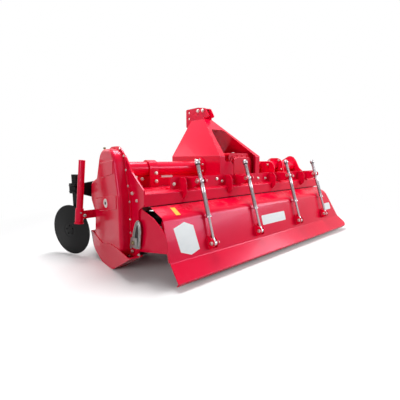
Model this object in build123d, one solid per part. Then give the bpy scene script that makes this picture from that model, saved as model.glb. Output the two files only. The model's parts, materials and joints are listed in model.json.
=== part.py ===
from build123d import *
import math
import os

# A tractor-mounted rotavator: a hood on a cross tube, a gear-driven rotor under it, a hinged
# trailing flap held down by four spring rods, a three-point hitch, a side disc and a stand.
# Millimetres. X runs across the machine to the right seen from behind, Y forward to the
# tractor, Z up from the floor. X = 0 is the gearcase flange, Y = 0 the cross tube's axis.
# The last lines move everything so that the origin is under the middle of the whole machine.

# ---- driving dimensions: frame
FRAME_WIDTH = 2130.0        # gearcase flange to the right end plate's outer face
PLATE = 10.0                # end plates, gussets and hitch plates
SHEET = 5.0                 # hood, flap and guards
TUBE_Z = 685.0              # cross tube axis above the floor
TUBE_RADIUS = 51.0
TUBE_WALL = 8.0
HOOD_TOP = 555.0            # top face of the hood
TOOLBAR_REAR = 360.0        # rear face of the front toolbar
TOOLBAR = 80.0              # square toolbar
TOOLBAR_WALL = 8.0
HOOD_REAR = -286.0          # where the top drops to the rear band
BAND_Y = -314.0             # outer face of the hood's rear band
HOOD_OVERHANG = 22.0        # hood past the right end plate
RUN_CLEAR = 0.05            # radial clearance of a running fit

# ---- driving dimensions: rotor and gearcase
ROTOR_Y, ROTOR_Z = 70.0, 262.0
ROTOR_SWING = 245.0         # blade tip radius
ROTOR_TUBE = 42.0           # rotor tube radius
JOURNAL_RADIUS = 30.0
FLANGE_RADIUS = 112.0
FLANGE_COUNT = 8
BLADE_PAIRS = 3             # right-hand and left-hand blades on each flange
BLADE_THICKNESS = 8.0
BLADE_REACH = 84.0          # how far a blade's tip turns to the side
CASE_DEPTH = 75.0           # gearcase cover, outwards from its flange
CASE_FLANGE = 8.0

# ---- driving dimensions: flap and its rods
FLAP_START = 76.0           # left edge of the flap
FLAP_SHORT = 8.0            # the flap's right edge at the hinge, inside the end plate's outer face
FLAP_FLARE = 148.0          # how much wider the flap is where its lip begins
FLAP_LIP_FLARE = 60.0       # how much wider again the lip's corner is
HINGE_Y, HINGE_Z = -292.0, 474.0
HINGE_PIN = 9.0
BAND_DROP = 9.0             # how far the hood's rear band hangs below the hinge axis
FLAP_LIFT = 30.0            # degrees that the flap swings up
ROD_RADIUS = 9.0
ROD_X = (408.0, 896.0, 1466.0, FRAME_WIDTH - 184)
TRUNNION_Y, TRUNNION_Z = -391.0, 610.0
TRUNNION_RADIUS = 15.0
EYE_Y, EYE_Z = -524.0, 213.0
EYE_RADIUS = 18.0
EYE_BOLT = 7.0
EYE_PLAY = 4.5              # the eye bolt drifts in the ears' holes by up to this as the flap lifts
ROD_ABOVE = 148.0           # trunnion axis to the rod's top end
COLLAR_DROP = 236.0         # trunnion axis to the collar under the spring
SPRING_RADIUS = 16.0

# ---- driving dimensions: mast and hitch
MAST_X = 960.0              # middle of the mast, of the hitch and of the drive shaft
MAST_BASE_HALF = 243.0      # half width up to the fold
MAST_BASE_Z = 780.0         # height of the fold
MAST_TOP_Z = 1185.0
MAST_HEAD_Z = 1118.0        # the sides are upright again above this
TOP_LINK_GAP = 55.0         # between the two plates that hold the top link's pin
TOP_LINK_RADIUS = 12.7
LOWER_PIN_RADIUS = 14.2
LOWER_SPREAD = 825.0        # between the mid points of the two lower pins' free ends
LOWER_FREE = 55.0           # free end of a lower pin, outside its bracket
LOWER_GAP = 60.0            # between the two plates of a lower bracket
LOWER_COLLAR = 8.0          # collar between a bracket and the pin's free end
LOWER_PIN_Y, LOWER_PIN_Z = 498.0, 508.0
GEARBOX_GAP = 15.0          # between the gearbox and the inner face of the mast's right side
GEARBOX_LEFT, GEARBOX_RIGHT = 880.0, MAST_X + MAST_BASE_HALF - PLATE - GEARBOX_GAP
PTO_RADIUS = 17.45
PTO_LENGTH = 90.0

# ---- driving dimensions: disc and stand
DISC_X, DISC_Y = -196.0, 482.0
DISC_RADIUS = 196.0
DISC_LIFT = 8.0             # the disc's rim above the floor
DISC_TURN = 25.0            # degrees that the disc is turned out of line
DISC_DISH = 18.0
SHANK_OFFSET = 62.0         # from the disc's rim plane to the shank's middle
SHANK_TOP = 635.0
STAND_X, STAND_Y = -189.0, 300.0    # middle of the leg's foot
STAND_LEAN = 6.2            # degrees that the leg leans
STAND_RADIUS = 23.0
STAND_BOTTOM = 284.0        # foot above the floor
STAND_LENGTH = 462.0
STAND_DROP = 270.0          # how far the leg slides down


# ---- shared shapes -----------------------------------------------------------------------

def yz_face(points, radii=0):
    """Closed face in the YZ plane from (y, z) corners, with one radius or one for each corner."""
    if isinstance(radii, (int, float)):
        radii = [radii] * len(points)
    return make_face(Plane.YZ * FilletPolyline(*points, radius=radii, close=True))


def slab(face, x_low, x_high):
    """A YZ face made solid between two X places."""
    return Pos(x_low, 0, 0) * extrude(face, x_high - x_low, dir=(1, 0, 0))


def plate(points, radii, x_low, x_high):
    """A plate square to X with the given outline."""
    return slab(yz_face(points, radii), x_low, x_high)


def across(points, radii, y_low, y_high):
    """A plate square to Y with the given outline of (x, z) corners."""
    if isinstance(radii, (int, float)):
        radii = [radii] * len(points)
    face = make_face(Plane.XZ * FilletPolyline(*points, radius=radii, close=True))
    return Pos(0, y_low, 0) * extrude(face, y_high - y_low, dir=(0, 1, 0))


def fold(points, radii, thickness):
    """Closed corners and radii of a folded sheet whose one face runs along the open points.

    The sheet lies to the left of the line as it is walked. radii are those of the given face.
    """
    count = len(points)
    normals = []
    for (y0, z0), (y1, z1) in zip(points, points[1:]):
        length = math.hypot(y1 - y0, z1 - z0)
        normals.append((-(z1 - z0) / length, (y1 - y0) / length))
    inner, inner_radii = [], []
    for i, (y, z) in enumerate(points):
        before, after = normals[max(i - 1, 0)], normals[min(i, count - 2)]
        my, mz = before[0] + after[0], before[1] + after[1]
        scale = 2 * thickness / (my * my + mz * mz)
        inner.append((y + my * scale, z + mz * scale))
        if 0 < i < count - 1:
            turn = before[0] * after[1] - before[1] * after[0]
            radius = radii[i - 1]
            inner_radii.append(max(radius - thickness, 1.0) if turn > 0 else radius + thickness)
    return list(points) + inner[::-1], [0, *radii, 0, 0, *inner_radii[::-1], 0]


def folded_sheet(points, radii, thickness, x_low, x_high):
    """A folded sheet of constant section across the machine."""
    return slab(yz_face(*fold(points, radii, thickness)), x_low, x_high)


def grow(points, distance):
    """Corners of a closed outline, walked clockwise, moved outwards by a distance."""
    moved = []
    count = len(points)
    for i in range(count):
        (ya, za), (y, z), (yb, zb) = points[i - 1], points[i], points[(i + 1) % count]
        la, lb = math.hypot(y - ya, z - za), math.hypot(yb - y, zb - z)
        na = (-(z - za) / la, (y - ya) / la)
        nb = (-(zb - z) / lb, (yb - y) / lb)
        my, mz = na[0] + nb[0], na[1] + nb[1]
        scale = 2 * distance / (my * my + mz * mz)
        moved.append((y + my * scale, z + mz * scale))
    return moved


def rod_x(y, z, radius, x_low, x_high):
    """A round bar along X."""
    return Pos((x_low + x_high) / 2, y, z) * Rot(0, 90, 0) * Cylinder(radius, x_high - x_low)


def ring_x(y, z, outer, inner, x_low, x_high):
    """A round bar along X with a bore."""
    return rod_x(y, z, outer, x_low, x_high) - rod_x(y, z, inner, x_low - 1, x_high + 1)


def rod_y(x, z, radius, y_low, y_high):
    """A round bar along Y."""
    return Pos(x, (y_low + y_high) / 2, z) * Rot(90, 0, 0) * Cylinder(radius, y_high - y_low)


def box(x_low, x_high, y_low, y_high, z_low, z_high):
    """A block between two corners."""
    middle = Pos((x_low + x_high) / 2, (y_low + y_high) / 2, (z_low + z_high) / 2)
    return middle * Box(x_high - x_low, y_high - y_low, z_high - z_low)


def join(shapes):
    """All the shapes in one, fused where they meet."""
    result = shapes[0]
    for shape in shapes[1:]:
        result = result + shape
    return result


def largest(shape):
    """The largest solid of a shape, without the scraps that a cut leaves."""
    return max(shape.solids(), key=lambda solid: solid.volume)


# ---- hood and end plates -----------------------------------------------------------------

TOOLBAR_FRONT = TOOLBAR_REAR + TOOLBAR
HOOD_FRONT = TOOLBAR_REAR - 0.1
HOOD_LINE = [(HOOD_FRONT + 28, 390), (HOOD_FRONT, HOOD_TOP - TOOLBAR - 5),
             (HOOD_FRONT, HOOD_TOP - 40), (250, HOOD_TOP), (HOOD_REAR, HOOD_TOP),
             (BAND_Y, HOOD_TOP - 14), (BAND_Y, HINGE_Z - BAND_DROP)]
HOOD_RADII = [30, 20, 60, 8, 8]
RIGHT_IN = FRAME_WIDTH - PLATE

# Corners of an end plate as (y, z, radius); only the rear edge differs between the two.
PLATE_FRONT = [(-262, 190, 40), (-262, 138, 20), (-20, 4, 0), (170, 4, 0), (334, 74, 20), (358, 290, 40),
               (TOOLBAR_FRONT + 10, 440, 30), (TOOLBAR_FRONT + 10, 566, 30), (120, 742, 60),
               (0, TUBE_Z + 128, 70)]
LEFT_REAR = [(-120, 776, 50), (-205, 670, 200), (-350, 568, 12), (-350, 480, 12), (-275, 440, 30)]
RIGHT_REAR = [(-62, 742, 30), (-104, 662, 30), (-158, 618, 14), (-158, HOOD_TOP + 3, 0),
              (BAND_Y - 2, HOOD_TOP + 3, 8), (BAND_Y - 2, HINGE_Z + 26, 8), (-275, 440, 30)]

SKID_LINE = [(-296, 152), (-20, 0), (170, 0), (330, 66), (384, 196)]
SKID_RADII = [120, 120, 95]
SKID_THICK = 10.0


def hood():
    """Sheet over the rotor, folded at the front and at the rear band, open at the ends."""
    return folded_sheet(HOOD_LINE, HOOD_RADII, SHEET, PLATE, FRAME_WIDTH + HOOD_OVERHANG)


def skid_runner(low, high):
    """Runner strip that the machine stands on, turned up at both ends."""
    return folded_sheet(SKID_LINE, SKID_RADII, SKID_THICK, low, high)


def end_plate(rear, low, high):
    """Plate that carries tube, hood and toolbar at one end and lets the rotor's journal through."""
    corners = PLATE_FRONT + rear
    points = [(y, z) for y, z, radius in corners]
    radii = [radius for y, z, radius in corners]
    hole = rod_x(ROTOR_Y, ROTOR_Z, JOURNAL_RADIUS + 20, low - 1, high + 1)
    return largest(plate(points, radii, low, high) - hole - skid_runner(low - 1, high + 1))


def left_end_plate():
    """End plate that the gearcase is bolted to."""
    return end_plate(LEFT_REAR, 0, PLATE)


def right_end_plate():
    """End plate at the other end; the hood passes over it."""
    hood_sheet = folded_sheet(HOOD_LINE, HOOD_RADII, SHEET, RIGHT_IN - 1, FRAME_WIDTH + 1)
    return end_plate(RIGHT_REAR, RIGHT_IN, FRAME_WIDTH) - hood_sheet


SHIELD = 4.0
SHIELD_GAP = 16.0           # the left shield's outer face to the flap's left edge


def side_shields():
    """Sheets behind the end plates that keep soil in; the left one is bent out past the plate."""
    section = [(PLATE, -200), (PLATE, -264), (FLAP_START - SHIELD_GAP, -508)]
    corners, radii = fold(section, [40], SHIELD)
    sheet = Pos(0, 0, 150) * extrude(make_face(FilletPolyline(*corners, radius=radii, close=True)), 320)
    outline = [(-200, 446), (-284, 452), (-394, 404), (-465, 347), (-500, 290), (-514, 212), (-230, 168),
               (-200, 170)]
    left = sheet & plate(outline, [0, 10, 40, 60, 60, 14, 20, 0], -10, 100)
    outline = [(-215, 452), (-240, 452), (-370, 400), (-420, 200), (-215, 190)]
    right = plate(outline, [0, 10, 20, 20, 0], RIGHT_IN - SHIELD, RIGHT_IN)
    return [left, right]


# ---- gearcase ----------------------------------------------------------------------------

CASE_LINE = [(-92, 806), (110, 806), (205, 612), (330, 572), (345, 452), (268, 350), (318, 130),
             (190, 56), (-50, 56), (-146, 150), (-158, 500)]
CASE_RADII = [95, 95, 40, 55, 50, 60, 120, 120, 120, 100, 260]
HOLLOW_CORNERS = (2, 5)
CASE_RIM = 32.0             # flange past the middle line of the cover's wall
COVER_RIM = 14.0
COVER_FILLET = 22.0
PANEL_RISE = 4.0
# the two panels' corners as (y, z): front top, rear top, rear bottom, front bottom
PANELS = ([(134, 726), (-108, 748), (-98, 659), (118, 622)],
          [(254, 467), (-134, 529), (-128, 434), (186, 382)])


def case_outline(distance):
    """The gearcase outline grown outwards; its two hollow corners get tighter as it grows."""
    radii = []
    for i, radius in enumerate(CASE_RADII):
        radii.append(radius - distance / 2 if i in HOLLOW_CORNERS else radius + distance)
    return yz_face(grow(CASE_LINE, distance), radii)


def gearcase_flange():
    """Bolting flange of the gearcase against the left end plate, with the rotor's left bearing."""
    bore = rod_x(ROTOR_Y, ROTOR_Z, JOURNAL_RADIUS + RUN_CLEAR, -CASE_FLANGE - 1, 1)
    return slab(case_outline(CASE_RIM), -CASE_FLANGE, 0) - bore


def pressed_panel(corners):
    """A raised panel on the cover's face, with sloping edges."""
    low = -CASE_DEPTH - PANEL_RISE
    panel = plate(corners, 6, low, 1 - CASE_DEPTH)
    return chamfer(panel.faces().sort_by(Axis.X)[0].edges(), PANEL_RISE - 0.5)


def gearcase_cover():
    """Pressed cover of the side gears, with a rounded edge and two raised panels."""
    body = slab(case_outline(COVER_RIM), -CASE_DEPTH, -CASE_FLANGE)
    outer = body.faces().sort_by(Axis.X)[0]
    return join([fillet(outer.edges(), COVER_FILLET), *[pressed_panel(corners) for corners in PANELS]])


def gearcase_guard():
    """Shoe under the gearcase: a side plate and the runner, in one welded piece."""
    low = -CASE_DEPTH - SHEET
    outline = SKID_LINE + [(366, 200), (150, 150), (10, 178), (-120, 176)]
    side = plate(outline, [0, *SKID_RADII, 0, 6, 60, 60, 30], low, low + SHEET)
    return side + skid_runner(low, PLATE)


def right_skid():
    """Runner under the right end plate, with the plate that bolts to it."""
    low = FRAME_WIDTH
    outline = SKID_LINE + [(366, 200), (150, 250), (-60, 250), (-120, 176)]
    side = plate(outline, [0, *SKID_RADII, 0, 6, 60, 60, 30], low, low + 8)
    hole = rod_x(ROTOR_Y, ROTOR_Z, BEARING_FLANGE + 10, low - 1, low + 9)
    return side + skid_runner(low, low + 64) - hole


ADJUSTER_Y, ADJUSTER_TOP = -226.0, 368.0


def skid_adjuster(low, high, skid):
    """Slotted strap from the end plate down to a skid's rear end."""
    y = ADJUSTER_Y
    strap = plate([(y - 17, 100), (y + 17, 100), (y + 17, ADJUSTER_TOP), (y - 17, ADJUSTER_TOP)],
                  [0, 0, 16, 16], low, high)
    slot = plate([(y - 5, 232), (y + 5, 232), (y + 5, ADJUSTER_TOP - 18), (y - 5, ADJUSTER_TOP - 18)],
                 4.9, low - 1, high + 1)
    below = box(low - 1, high + 1, y - 40, y + 40, 0, 112)
    return largest(strap - slot - skid - below)


# ---- tubes, gussets, rear bar ------------------------------------------------------------

LEFT_SIDE_X = MAST_X - MAST_BASE_HALF
RIGHT_SIDE_X = MAST_X + MAST_BASE_HALF
TUBE_FLANGE, TUBE_FLANGE_THICK = 84.0, 16.0
BAR_Y = -278.0
BAR_THICK, BAR_FOOT = 8.0, 52.0
BAR_TOP = HOOD_TOP + 80
BAR_START = 236.0
WEB_THICK = 8.0
GUSSET_X, HALF_GUSSET_X = FRAME_WIDTH - 340, 1500.0
STRAP_X, STRAP_WIDTH, STRAP_THICK = 246.0, 70.0, 12.0
RIB_X = (317.0, 752.0, 1317.0, FRAME_WIDTH - 323)


def cross_tube(low, high, flange_low):
    """A length of cross tube from an end plate to the flange on the mast's side."""
    tube = ring_x(0, TUBE_Z, TUBE_RADIUS, TUBE_RADIUS - TUBE_WALL, low, high)
    flange = ring_x(0, TUBE_Z, TUBE_FLANGE, TUBE_RADIUS - TUBE_WALL, flange_low, flange_low + TUBE_FLANGE_THICK)
    return tube + flange


def rear_bar():
    """Upright flat bar along the hood's rear edge."""
    return box(BAR_START, RIGHT_IN, BAR_Y, BAR_Y + BAR_THICK, HOOD_TOP, BAR_TOP)


def rear_bar_feet():
    """Flat lengths in front of the bar that join it to the hood, beside and between the mast's sides."""
    low_y = BAR_Y + BAR_THICK
    spans = ((BAR_START, LEFT_SIDE_X), (LEFT_SIDE_X + PLATE, RIGHT_SIDE_X - PLATE), (RIGHT_SIDE_X, RIGHT_IN))
    return [box(low, high, low_y, low_y + BAR_FOOT, HOOD_TOP, HOOD_TOP + BAR_THICK) for low, high in spans]


def tube_webs():
    """Upright plates on the hood under the tubes, between flanges, gussets and end plates."""
    half = PLATE / 2
    spans = ((PLATE, LEFT_SIDE_X - TUBE_FLANGE_THICK),
             (RIGHT_SIDE_X + TUBE_FLANGE_THICK, HALF_GUSSET_X - half),
             (HALF_GUSSET_X + half, GUSSET_X - half), (GUSSET_X + half, RIGHT_IN))
    tube = rod_x(0, TUBE_Z, TUBE_RADIUS, 0, FRAME_WIDTH)
    top = TUBE_Z - TUBE_RADIUS + 4
    return [box(low, high, -WEB_THICK / 2, WEB_THICK / 2, HOOD_TOP, top) - tube for low, high in spans]


def tube_gussets():
    """Upright plates on the hood that hold the right tube: a whole one and a rear half."""
    whole = [(-150, HOOD_TOP), (150, HOOD_TOP), (84, TUBE_Z + 84), (-84, TUBE_Z + 84)]
    half = [(-208, HOOD_TOP), (0, HOOD_TOP), (0, TUBE_Z + 48), (-203, TUBE_Z + 48)]
    table = ((GUSSET_X, whole, [0, 0, 80, 80]), (HALF_GUSSET_X, half, [0, 0, 0, 66]))
    return [plate(outline, radii, x - PLATE / 2, x + PLATE / 2) - rod_x(0, TUBE_Z, TUBE_RADIUS, x - PLATE, x + PLATE)
            for x, outline, radii in table]


def tube_strap():
    """Bent strap over the left tube with its legs on the hood."""
    low, high = STRAP_X - STRAP_WIDTH / 2, STRAP_X + STRAP_WIDTH / 2
    outer = TUBE_RADIUS + STRAP_THICK
    corners = [(-outer, HOOD_TOP), (outer, HOOD_TOP), (outer, TUBE_Z + outer), (-outer, TUBE_Z + outer)]
    body = plate(corners, [0, 0, outer - 0.1, outer - 0.1], low, high)
    room = box(low - 1, high + 1, -TUBE_RADIUS, TUBE_RADIUS, HOOD_TOP - 1, TUBE_Z)
    return body - room - rod_x(0, TUBE_Z, TUBE_RADIUS, low - 1, high + 1)


def hood_ribs():
    """Short upright ribs over the hood's rear edge, behind the bar."""
    corners = [(BAR_Y, BAR_TOP - 3), (BAR_Y - 52, BAR_TOP - 3), (BAR_Y - 74, BAR_TOP - 35),
               (BAR_Y - 74, HOOD_TOP - 30), (BAND_Y, HINGE_Z + 18), (BAND_Y, HOOD_TOP - 14),
               (HOOD_REAR, HOOD_TOP), (BAR_Y, HOOD_TOP)]
    return [plate(corners, [0, 18, 18, 14, 0, 0, 0, 0], x - 4, x + 4) for x in RIB_X]


def toolbar():
    """Square tube in front of the hood, between the end plates."""
    outer = box(PLATE, RIGHT_IN, TOOLBAR_REAR, TOOLBAR_FRONT, HOOD_TOP - TOOLBAR, HOOD_TOP)
    wall = TOOLBAR_WALL
    inner = box(PLATE - 1, RIGHT_IN + 1, TOOLBAR_REAR + wall, TOOLBAR_FRONT - wall,
                HOOD_TOP - TOOLBAR + wall, HOOD_TOP - wall)
    return outer - inner


# ---- mast and hitch ----------------------------------------------------------------------

MAST_TOP_HALF = TOP_LINK_GAP / 2 + 2 * PLATE
MAST_REAR = [(-253, HOOD_TOP + BAR_THICK), (-253, MAST_BASE_Z), (163, MAST_HEAD_Z)]
MAST_OUTLINE = [(-253, HOOD_TOP), (-253, MAST_BASE_Z), (163, MAST_HEAD_Z), (168, MAST_HEAD_Z + 20),
                (345, MAST_TOP_Z), (400, MAST_BASE_Z), (400, HOOD_TOP)]
REAR_SHEET = 6.0
REAR_STRIP = 53.0           # width of the strip down each rear edge of the mast
REAR_LOBE = 150.0           # width of the left strip's foot


def mast_rear_sheet():
    """The whole folded rear sheet, before its outline is cut."""
    return folded_sheet(MAST_REAR[::-1], [12], REAR_SHEET, MAST_X - 300, MAST_X + 300)


def mast_side(hand):
    """One side of the mast: upright below, leaning in above the fold, upright at the head."""
    line = [(hand * MAST_BASE_HALF, HOOD_TOP), (hand * MAST_BASE_HALF, MAST_BASE_Z),
            (hand * MAST_TOP_HALF, MAST_HEAD_Z), (hand * MAST_TOP_HALF, MAST_TOP_Z)]
    walked = line if hand > 0 else line[::-1]
    radii = [14, 8] if hand > 0 else [8, 14]
    corners, corner_radii = fold(walked, radii, PLATE)
    sheet = Pos(MAST_X, 0, 0) * across(corners, corner_radii, -320, 420)
    outline = plate(MAST_OUTLINE, [0, 8, 0, 6, 14, 20, 0], MAST_X - 400, MAST_X + 400)
    return largest((sheet & outline) - mast_rear_sheet())


def mast_rear_tie():
    """Folded rear face of the mast: a saddle across the head, a strip down each edge, a wider left foot."""
    base, top = MAST_BASE_HALF, MAST_TOP_HALF
    outer = [(-base, HOOD_TOP), (-base, MAST_BASE_Z), (-top, MAST_HEAD_Z), (top, MAST_HEAD_Z),
             (base, MAST_BASE_Z), (base, HOOD_TOP)]
    foot, neck, arch = base - REAR_STRIP, 78, 1016
    wide, lobe = base - REAR_LOBE, MAST_BASE_Z - 45
    inner = [(-wide, HOOD_TOP - 1), (-wide, lobe), (-foot, lobe), (-foot, MAST_BASE_Z), (-neck, arch),
             (neck, arch), (foot, MAST_BASE_Z), (foot, HOOD_TOP - 1)]
    shape = across(outer, 0, -400, 400) - across(inner, [0, 44, 20, 10, 46, 46, 30, 0], -401, 401)
    return mast_rear_sheet() & (Pos(MAST_X, 0, 0) * shape)


def top_link_bracket():
    """Two plates between the mast's sides with holes for the top link's pin."""
    outline = [(112, 1138), (162, 1216), (260, 1234), (446, 1236), (446, 1066), (400, 1050), (250, 1106)]
    holes = ((404, 1203), (404, 1147), (260, 1203), (193, 1200))
    pair = []
    for low in (MAST_X - TOP_LINK_GAP / 2 - PLATE, MAST_X + TOP_LINK_GAP / 2):
        body = plate(outline, [10, 14, 30, 14, 20, 20, 30], low, low + PLATE)
        for y, z in holes:
            body = body - rod_x(y, z, TOP_LINK_RADIUS, low - 1, low + PLATE + 1)
        pair.append(body)
    return pair


BRACKET_HALF = LOWER_GAP / 2 + PLATE
BRACKET_SPREAD = LOWER_SPREAD - LOWER_FREE - 2 * (BRACKET_HALF + LOWER_COLLAR)


def lower_hitch_plates():
    """Two pairs of plates on the toolbar, with holes for the lower link pins."""
    nose = LOWER_PIN_Y + 42
    outline = [(TOOLBAR_FRONT, HOOD_TOP), (nose, HOOD_TOP - 5), (nose, HOOD_TOP - TOOLBAR - 12),
               (TOOLBAR_FRONT, HOOD_TOP - TOOLBAR)]
    plates = []
    for sign in (-1, 1):
        middle = MAST_X + sign * BRACKET_SPREAD / 2
        for low in (middle - BRACKET_HALF, middle + LOWER_GAP / 2):
            body = plate(outline, [0, 38, 38, 0], low, low + PLATE)
            plates.append(body - rod_x(LOWER_PIN_Y, LOWER_PIN_Z, LOWER_PIN_RADIUS, low - 1, low + PLATE + 1))
    return plates


def lower_pins():
    """Lower link pins through both plates: a head inside, a collar and a free end outside."""
    pins = []
    for sign in (-1, 1):
        # ends along the pin from the mast's middle: head, inner plate, outer plate, collar, free end
        inner = BRACKET_SPREAD / 2 - BRACKET_HALF
        outer = inner + 2 * BRACKET_HALF
        free = outer + LOWER_COLLAR + LOWER_FREE
        rows = ((LOWER_PIN_RADIUS, inner - 1, free), (LOWER_PIN_RADIUS + 8, inner - 8, inner),
                (LOWER_PIN_RADIUS + 8, outer, outer + LOWER_COLLAR))
        lengths = [rod_x(LOWER_PIN_Y, LOWER_PIN_Z, radius, *sorted((MAST_X + sign * low, MAST_X + sign * high)))
                   for radius, low, high in rows]
        pins.append(join(lengths))
    return pins


# ---- gearbox -----------------------------------------------------------------------------

BOX_REAR, BOX_FRONT = -188.0, 165.0
BOX_LOW, BOX_HIGH = HOOD_TOP + 17, 806.0
STUB_RADIUS, STUB_FLANGE_THICK = 60.0, 14.0
SHAFT_SHOULDER = 3.0
NOSE_LENGTH, BORE_DEPTH = 26.0, 30.0


def gearbox():
    """Cast gearbox housing, closed, with a foot on the hood and a nose round the input shaft."""
    body = box(GEARBOX_LEFT, GEARBOX_RIGHT, BOX_REAR, BOX_FRONT, BOX_LOW, BOX_HIGH)
    body = fillet(body.edges().filter_by(Axis.Y), 26)
    nose = rod_y(MAST_X, TUBE_Z, STUB_RADIUS, BOX_FRONT, BOX_FRONT + NOSE_LENGTH)
    foot = box(GEARBOX_LEFT - 4, GEARBOX_RIGHT + 4, BOX_REAR + 20, BOX_FRONT - 10, HOOD_TOP, BOX_LOW + 4)
    bore = rod_y(MAST_X, TUBE_Z, PTO_RADIUS + SHAFT_SHOULDER + RUN_CLEAR, BOX_FRONT - BORE_DEPTH,
                 BOX_FRONT + NOSE_LENGTH + 1)
    return body + nose + foot - bore


def gearbox_cover():
    """Bolted cover with a rounded top on the gearbox's rear face."""
    middle = (GEARBOX_LEFT + GEARBOX_RIGHT) / 2
    half = (GEARBOX_RIGHT - GEARBOX_LEFT) / 2 - 10
    plates = []
    # one row for each layer: inset, radius of the upper corners, rear face, front face
    layers = ((0, 74, BOX_REAR - 8, BOX_REAR), (22, 56, BOX_REAR - 26, BOX_REAR - 8))
    for inset, radius, rear, front in layers:
        wide, low, high = half - inset, BOX_LOW + 8 + inset, BOX_HIGH - 10 - inset
        corners = [(-wide, low), (-wide, high), (wide, high), (wide, low)]
        plates.append(Pos(middle, 0, 0) * across(corners, [18, radius, radius, 18], rear, front))
    dome = fillet(plates[1].faces().sort_by(Axis.Y)[0].edges(), 8)
    return plates[0] + dome


def side_drives():
    """Flanged stub housings between the gearbox and the mast's side plates."""
    stubs = []
    # one row for each side: the stub's two ends, then its flange's low end
    rows = ((LEFT_SIDE_X + PLATE, GEARBOX_LEFT, LEFT_SIDE_X + PLATE),
            (GEARBOX_RIGHT, RIGHT_SIDE_X - PLATE, RIGHT_SIDE_X - PLATE - STUB_FLANGE_THICK))
    for low, high, flange in rows:
        stub = rod_x(0, TUBE_Z, STUB_RADIUS, low, high)
        stubs.append(stub + rod_x(0, TUBE_Z, TUBE_FLANGE - 2, flange, flange + STUB_FLANGE_THICK))
    return stubs


def input_shaft():
    """Drive shaft from the tractor: a bearing length inside the nose and the free end."""
    collar_end = BOX_FRONT + NOSE_LENGTH + 4
    inside = rod_y(MAST_X, TUBE_Z, PTO_RADIUS + SHAFT_SHOULDER, BOX_FRONT - BORE_DEPTH + 0.3, collar_end)
    return inside + rod_y(MAST_X, TUBE_Z, PTO_RADIUS, collar_end, collar_end + PTO_LENGTH)


# ---- rotor -------------------------------------------------------------------------------

ROTOR_LEFT, ROTOR_RIGHT = PLATE + 14, RIGHT_IN - 14
FLANGE_THICK = 10.0
FLANGE_PITCH = (ROTOR_RIGHT - ROTOR_LEFT - 2 * (BLADE_REACH + 40)) / (FLANGE_COUNT - 1)
FLANGE_X = [ROTOR_LEFT + BLADE_REACH + 40 + i * FLANGE_PITCH for i in range(FLANGE_COUNT)]
BEARING_FLANGE, BEARING_RADIUS = 80.0, 58.0
BEARING_DEPTH = 44.0


def rotor_shaft():
    """Rotor tube with its journals and the flanges that the blades bolt to."""
    tube = rod_x(ROTOR_Y, ROTOR_Z, ROTOR_TUBE, ROTOR_LEFT, ROTOR_RIGHT)
    journal = rod_x(ROTOR_Y, ROTOR_Z, JOURNAL_RADIUS, -CASE_FLANGE + 0.3, FRAME_WIDTH + BEARING_DEPTH - 14)
    flanges = [rod_x(ROTOR_Y, ROTOR_Z, FLANGE_RADIUS, x - FLANGE_THICK / 2, x + FLANGE_THICK / 2)
               for x in FLANGE_X]
    return join([tube, journal, *flanges])


def blade(hand):
    """One L-shaped blade pointing down from the rotor's axis, its foot on the plane x = 0.

    A ring section with a turned rim gives the foot and the turned tip; a sickle outline cuts it.
    """
    thick, tip, reach = BLADE_THICKNESS, ROTOR_SWING, BLADE_REACH
    section = [(0, 62), (thick, 62), (thick, tip - thick), (reach, tip - thick - 6), (reach, tip - 6), (0, tip)]
    ring_face = make_face(Plane.XZ * FilletPolyline(*section, radius=[0, 0, 22, 0, 0, 30], close=True))
    ring = revolve(ring_face, Axis.X, 360)
    sickle = [(-32, -62), (32, -62), (34, -110), (74, -200), (96, -260), (-6, -260), (-38, -170)]
    body = ring & plate(sickle, [14, 14, 60, 90, 0, 0, 90], -1, reach + 1)
    return body if hand > 0 else mirror(body, Plane.YZ)


def rotor_blades():
    """All the blades: alternate hands round each flange, each flange turned on from the last."""
    right, left = blade(1), blade(-1)
    step = 360 / (2 * BLADE_PAIRS)
    blades = []
    for i, x in enumerate(FLANGE_X):
        for k in range(2 * BLADE_PAIRS):
            body, side = (right, 1) if k % 2 == 0 else (left, -1)
            turn = Rot(k * step + i * step * 0.36, 0, 0)
            blades.append(Pos(x + side * FLANGE_THICK / 2, ROTOR_Y, ROTOR_Z) * turn * body)
    return blades


def right_bearing():
    """Round bearing housing bolted outside the right end plate."""
    low = FRAME_WIDTH
    flange = rod_x(ROTOR_Y, ROTOR_Z, BEARING_FLANGE, low, low + 16)
    body = flange + rod_x(ROTOR_Y, ROTOR_Z, BEARING_RADIUS, low + 16, low + BEARING_DEPTH)
    return body - rod_x(ROTOR_Y, ROTOR_Z, JOURNAL_RADIUS + RUN_CLEAR, low - 1, low + BEARING_DEPTH - 10)


# ---- flap --------------------------------------------------------------------------------

FLAP_LINE = [(-326, 460.5), (-430, 408), (-507, 146), (-588, 48), (-569, 26)]
FLAP_RADII = [70, 18, 6]
FLAP_TOP_END = FRAME_WIDTH - FLAP_SHORT
FLAP_LOW_END = FLAP_TOP_END + FLAP_FLARE
FLAP_LIP_END = FLAP_LOW_END + FLAP_LIP_FLARE
KNUCKLE = 13.0
KNUCKLE_X = (96.0, 640.0, 1180.0, 1700.0, RIGHT_IN - 32)
KNUCKLE_LENGTH = 22.0
EAR_IN, EAR_THICK, EAR_REACH = 15.0, 8.0, 46.0


def on_flap(z):
    """Y of the flap's outer face at a height on its main panel."""
    (y0, z0), (y1, z1) = FLAP_LINE[1], FLAP_LINE[2]
    return y0 + (z - z0) * (y1 - y0) / (z1 - z0)


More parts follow.
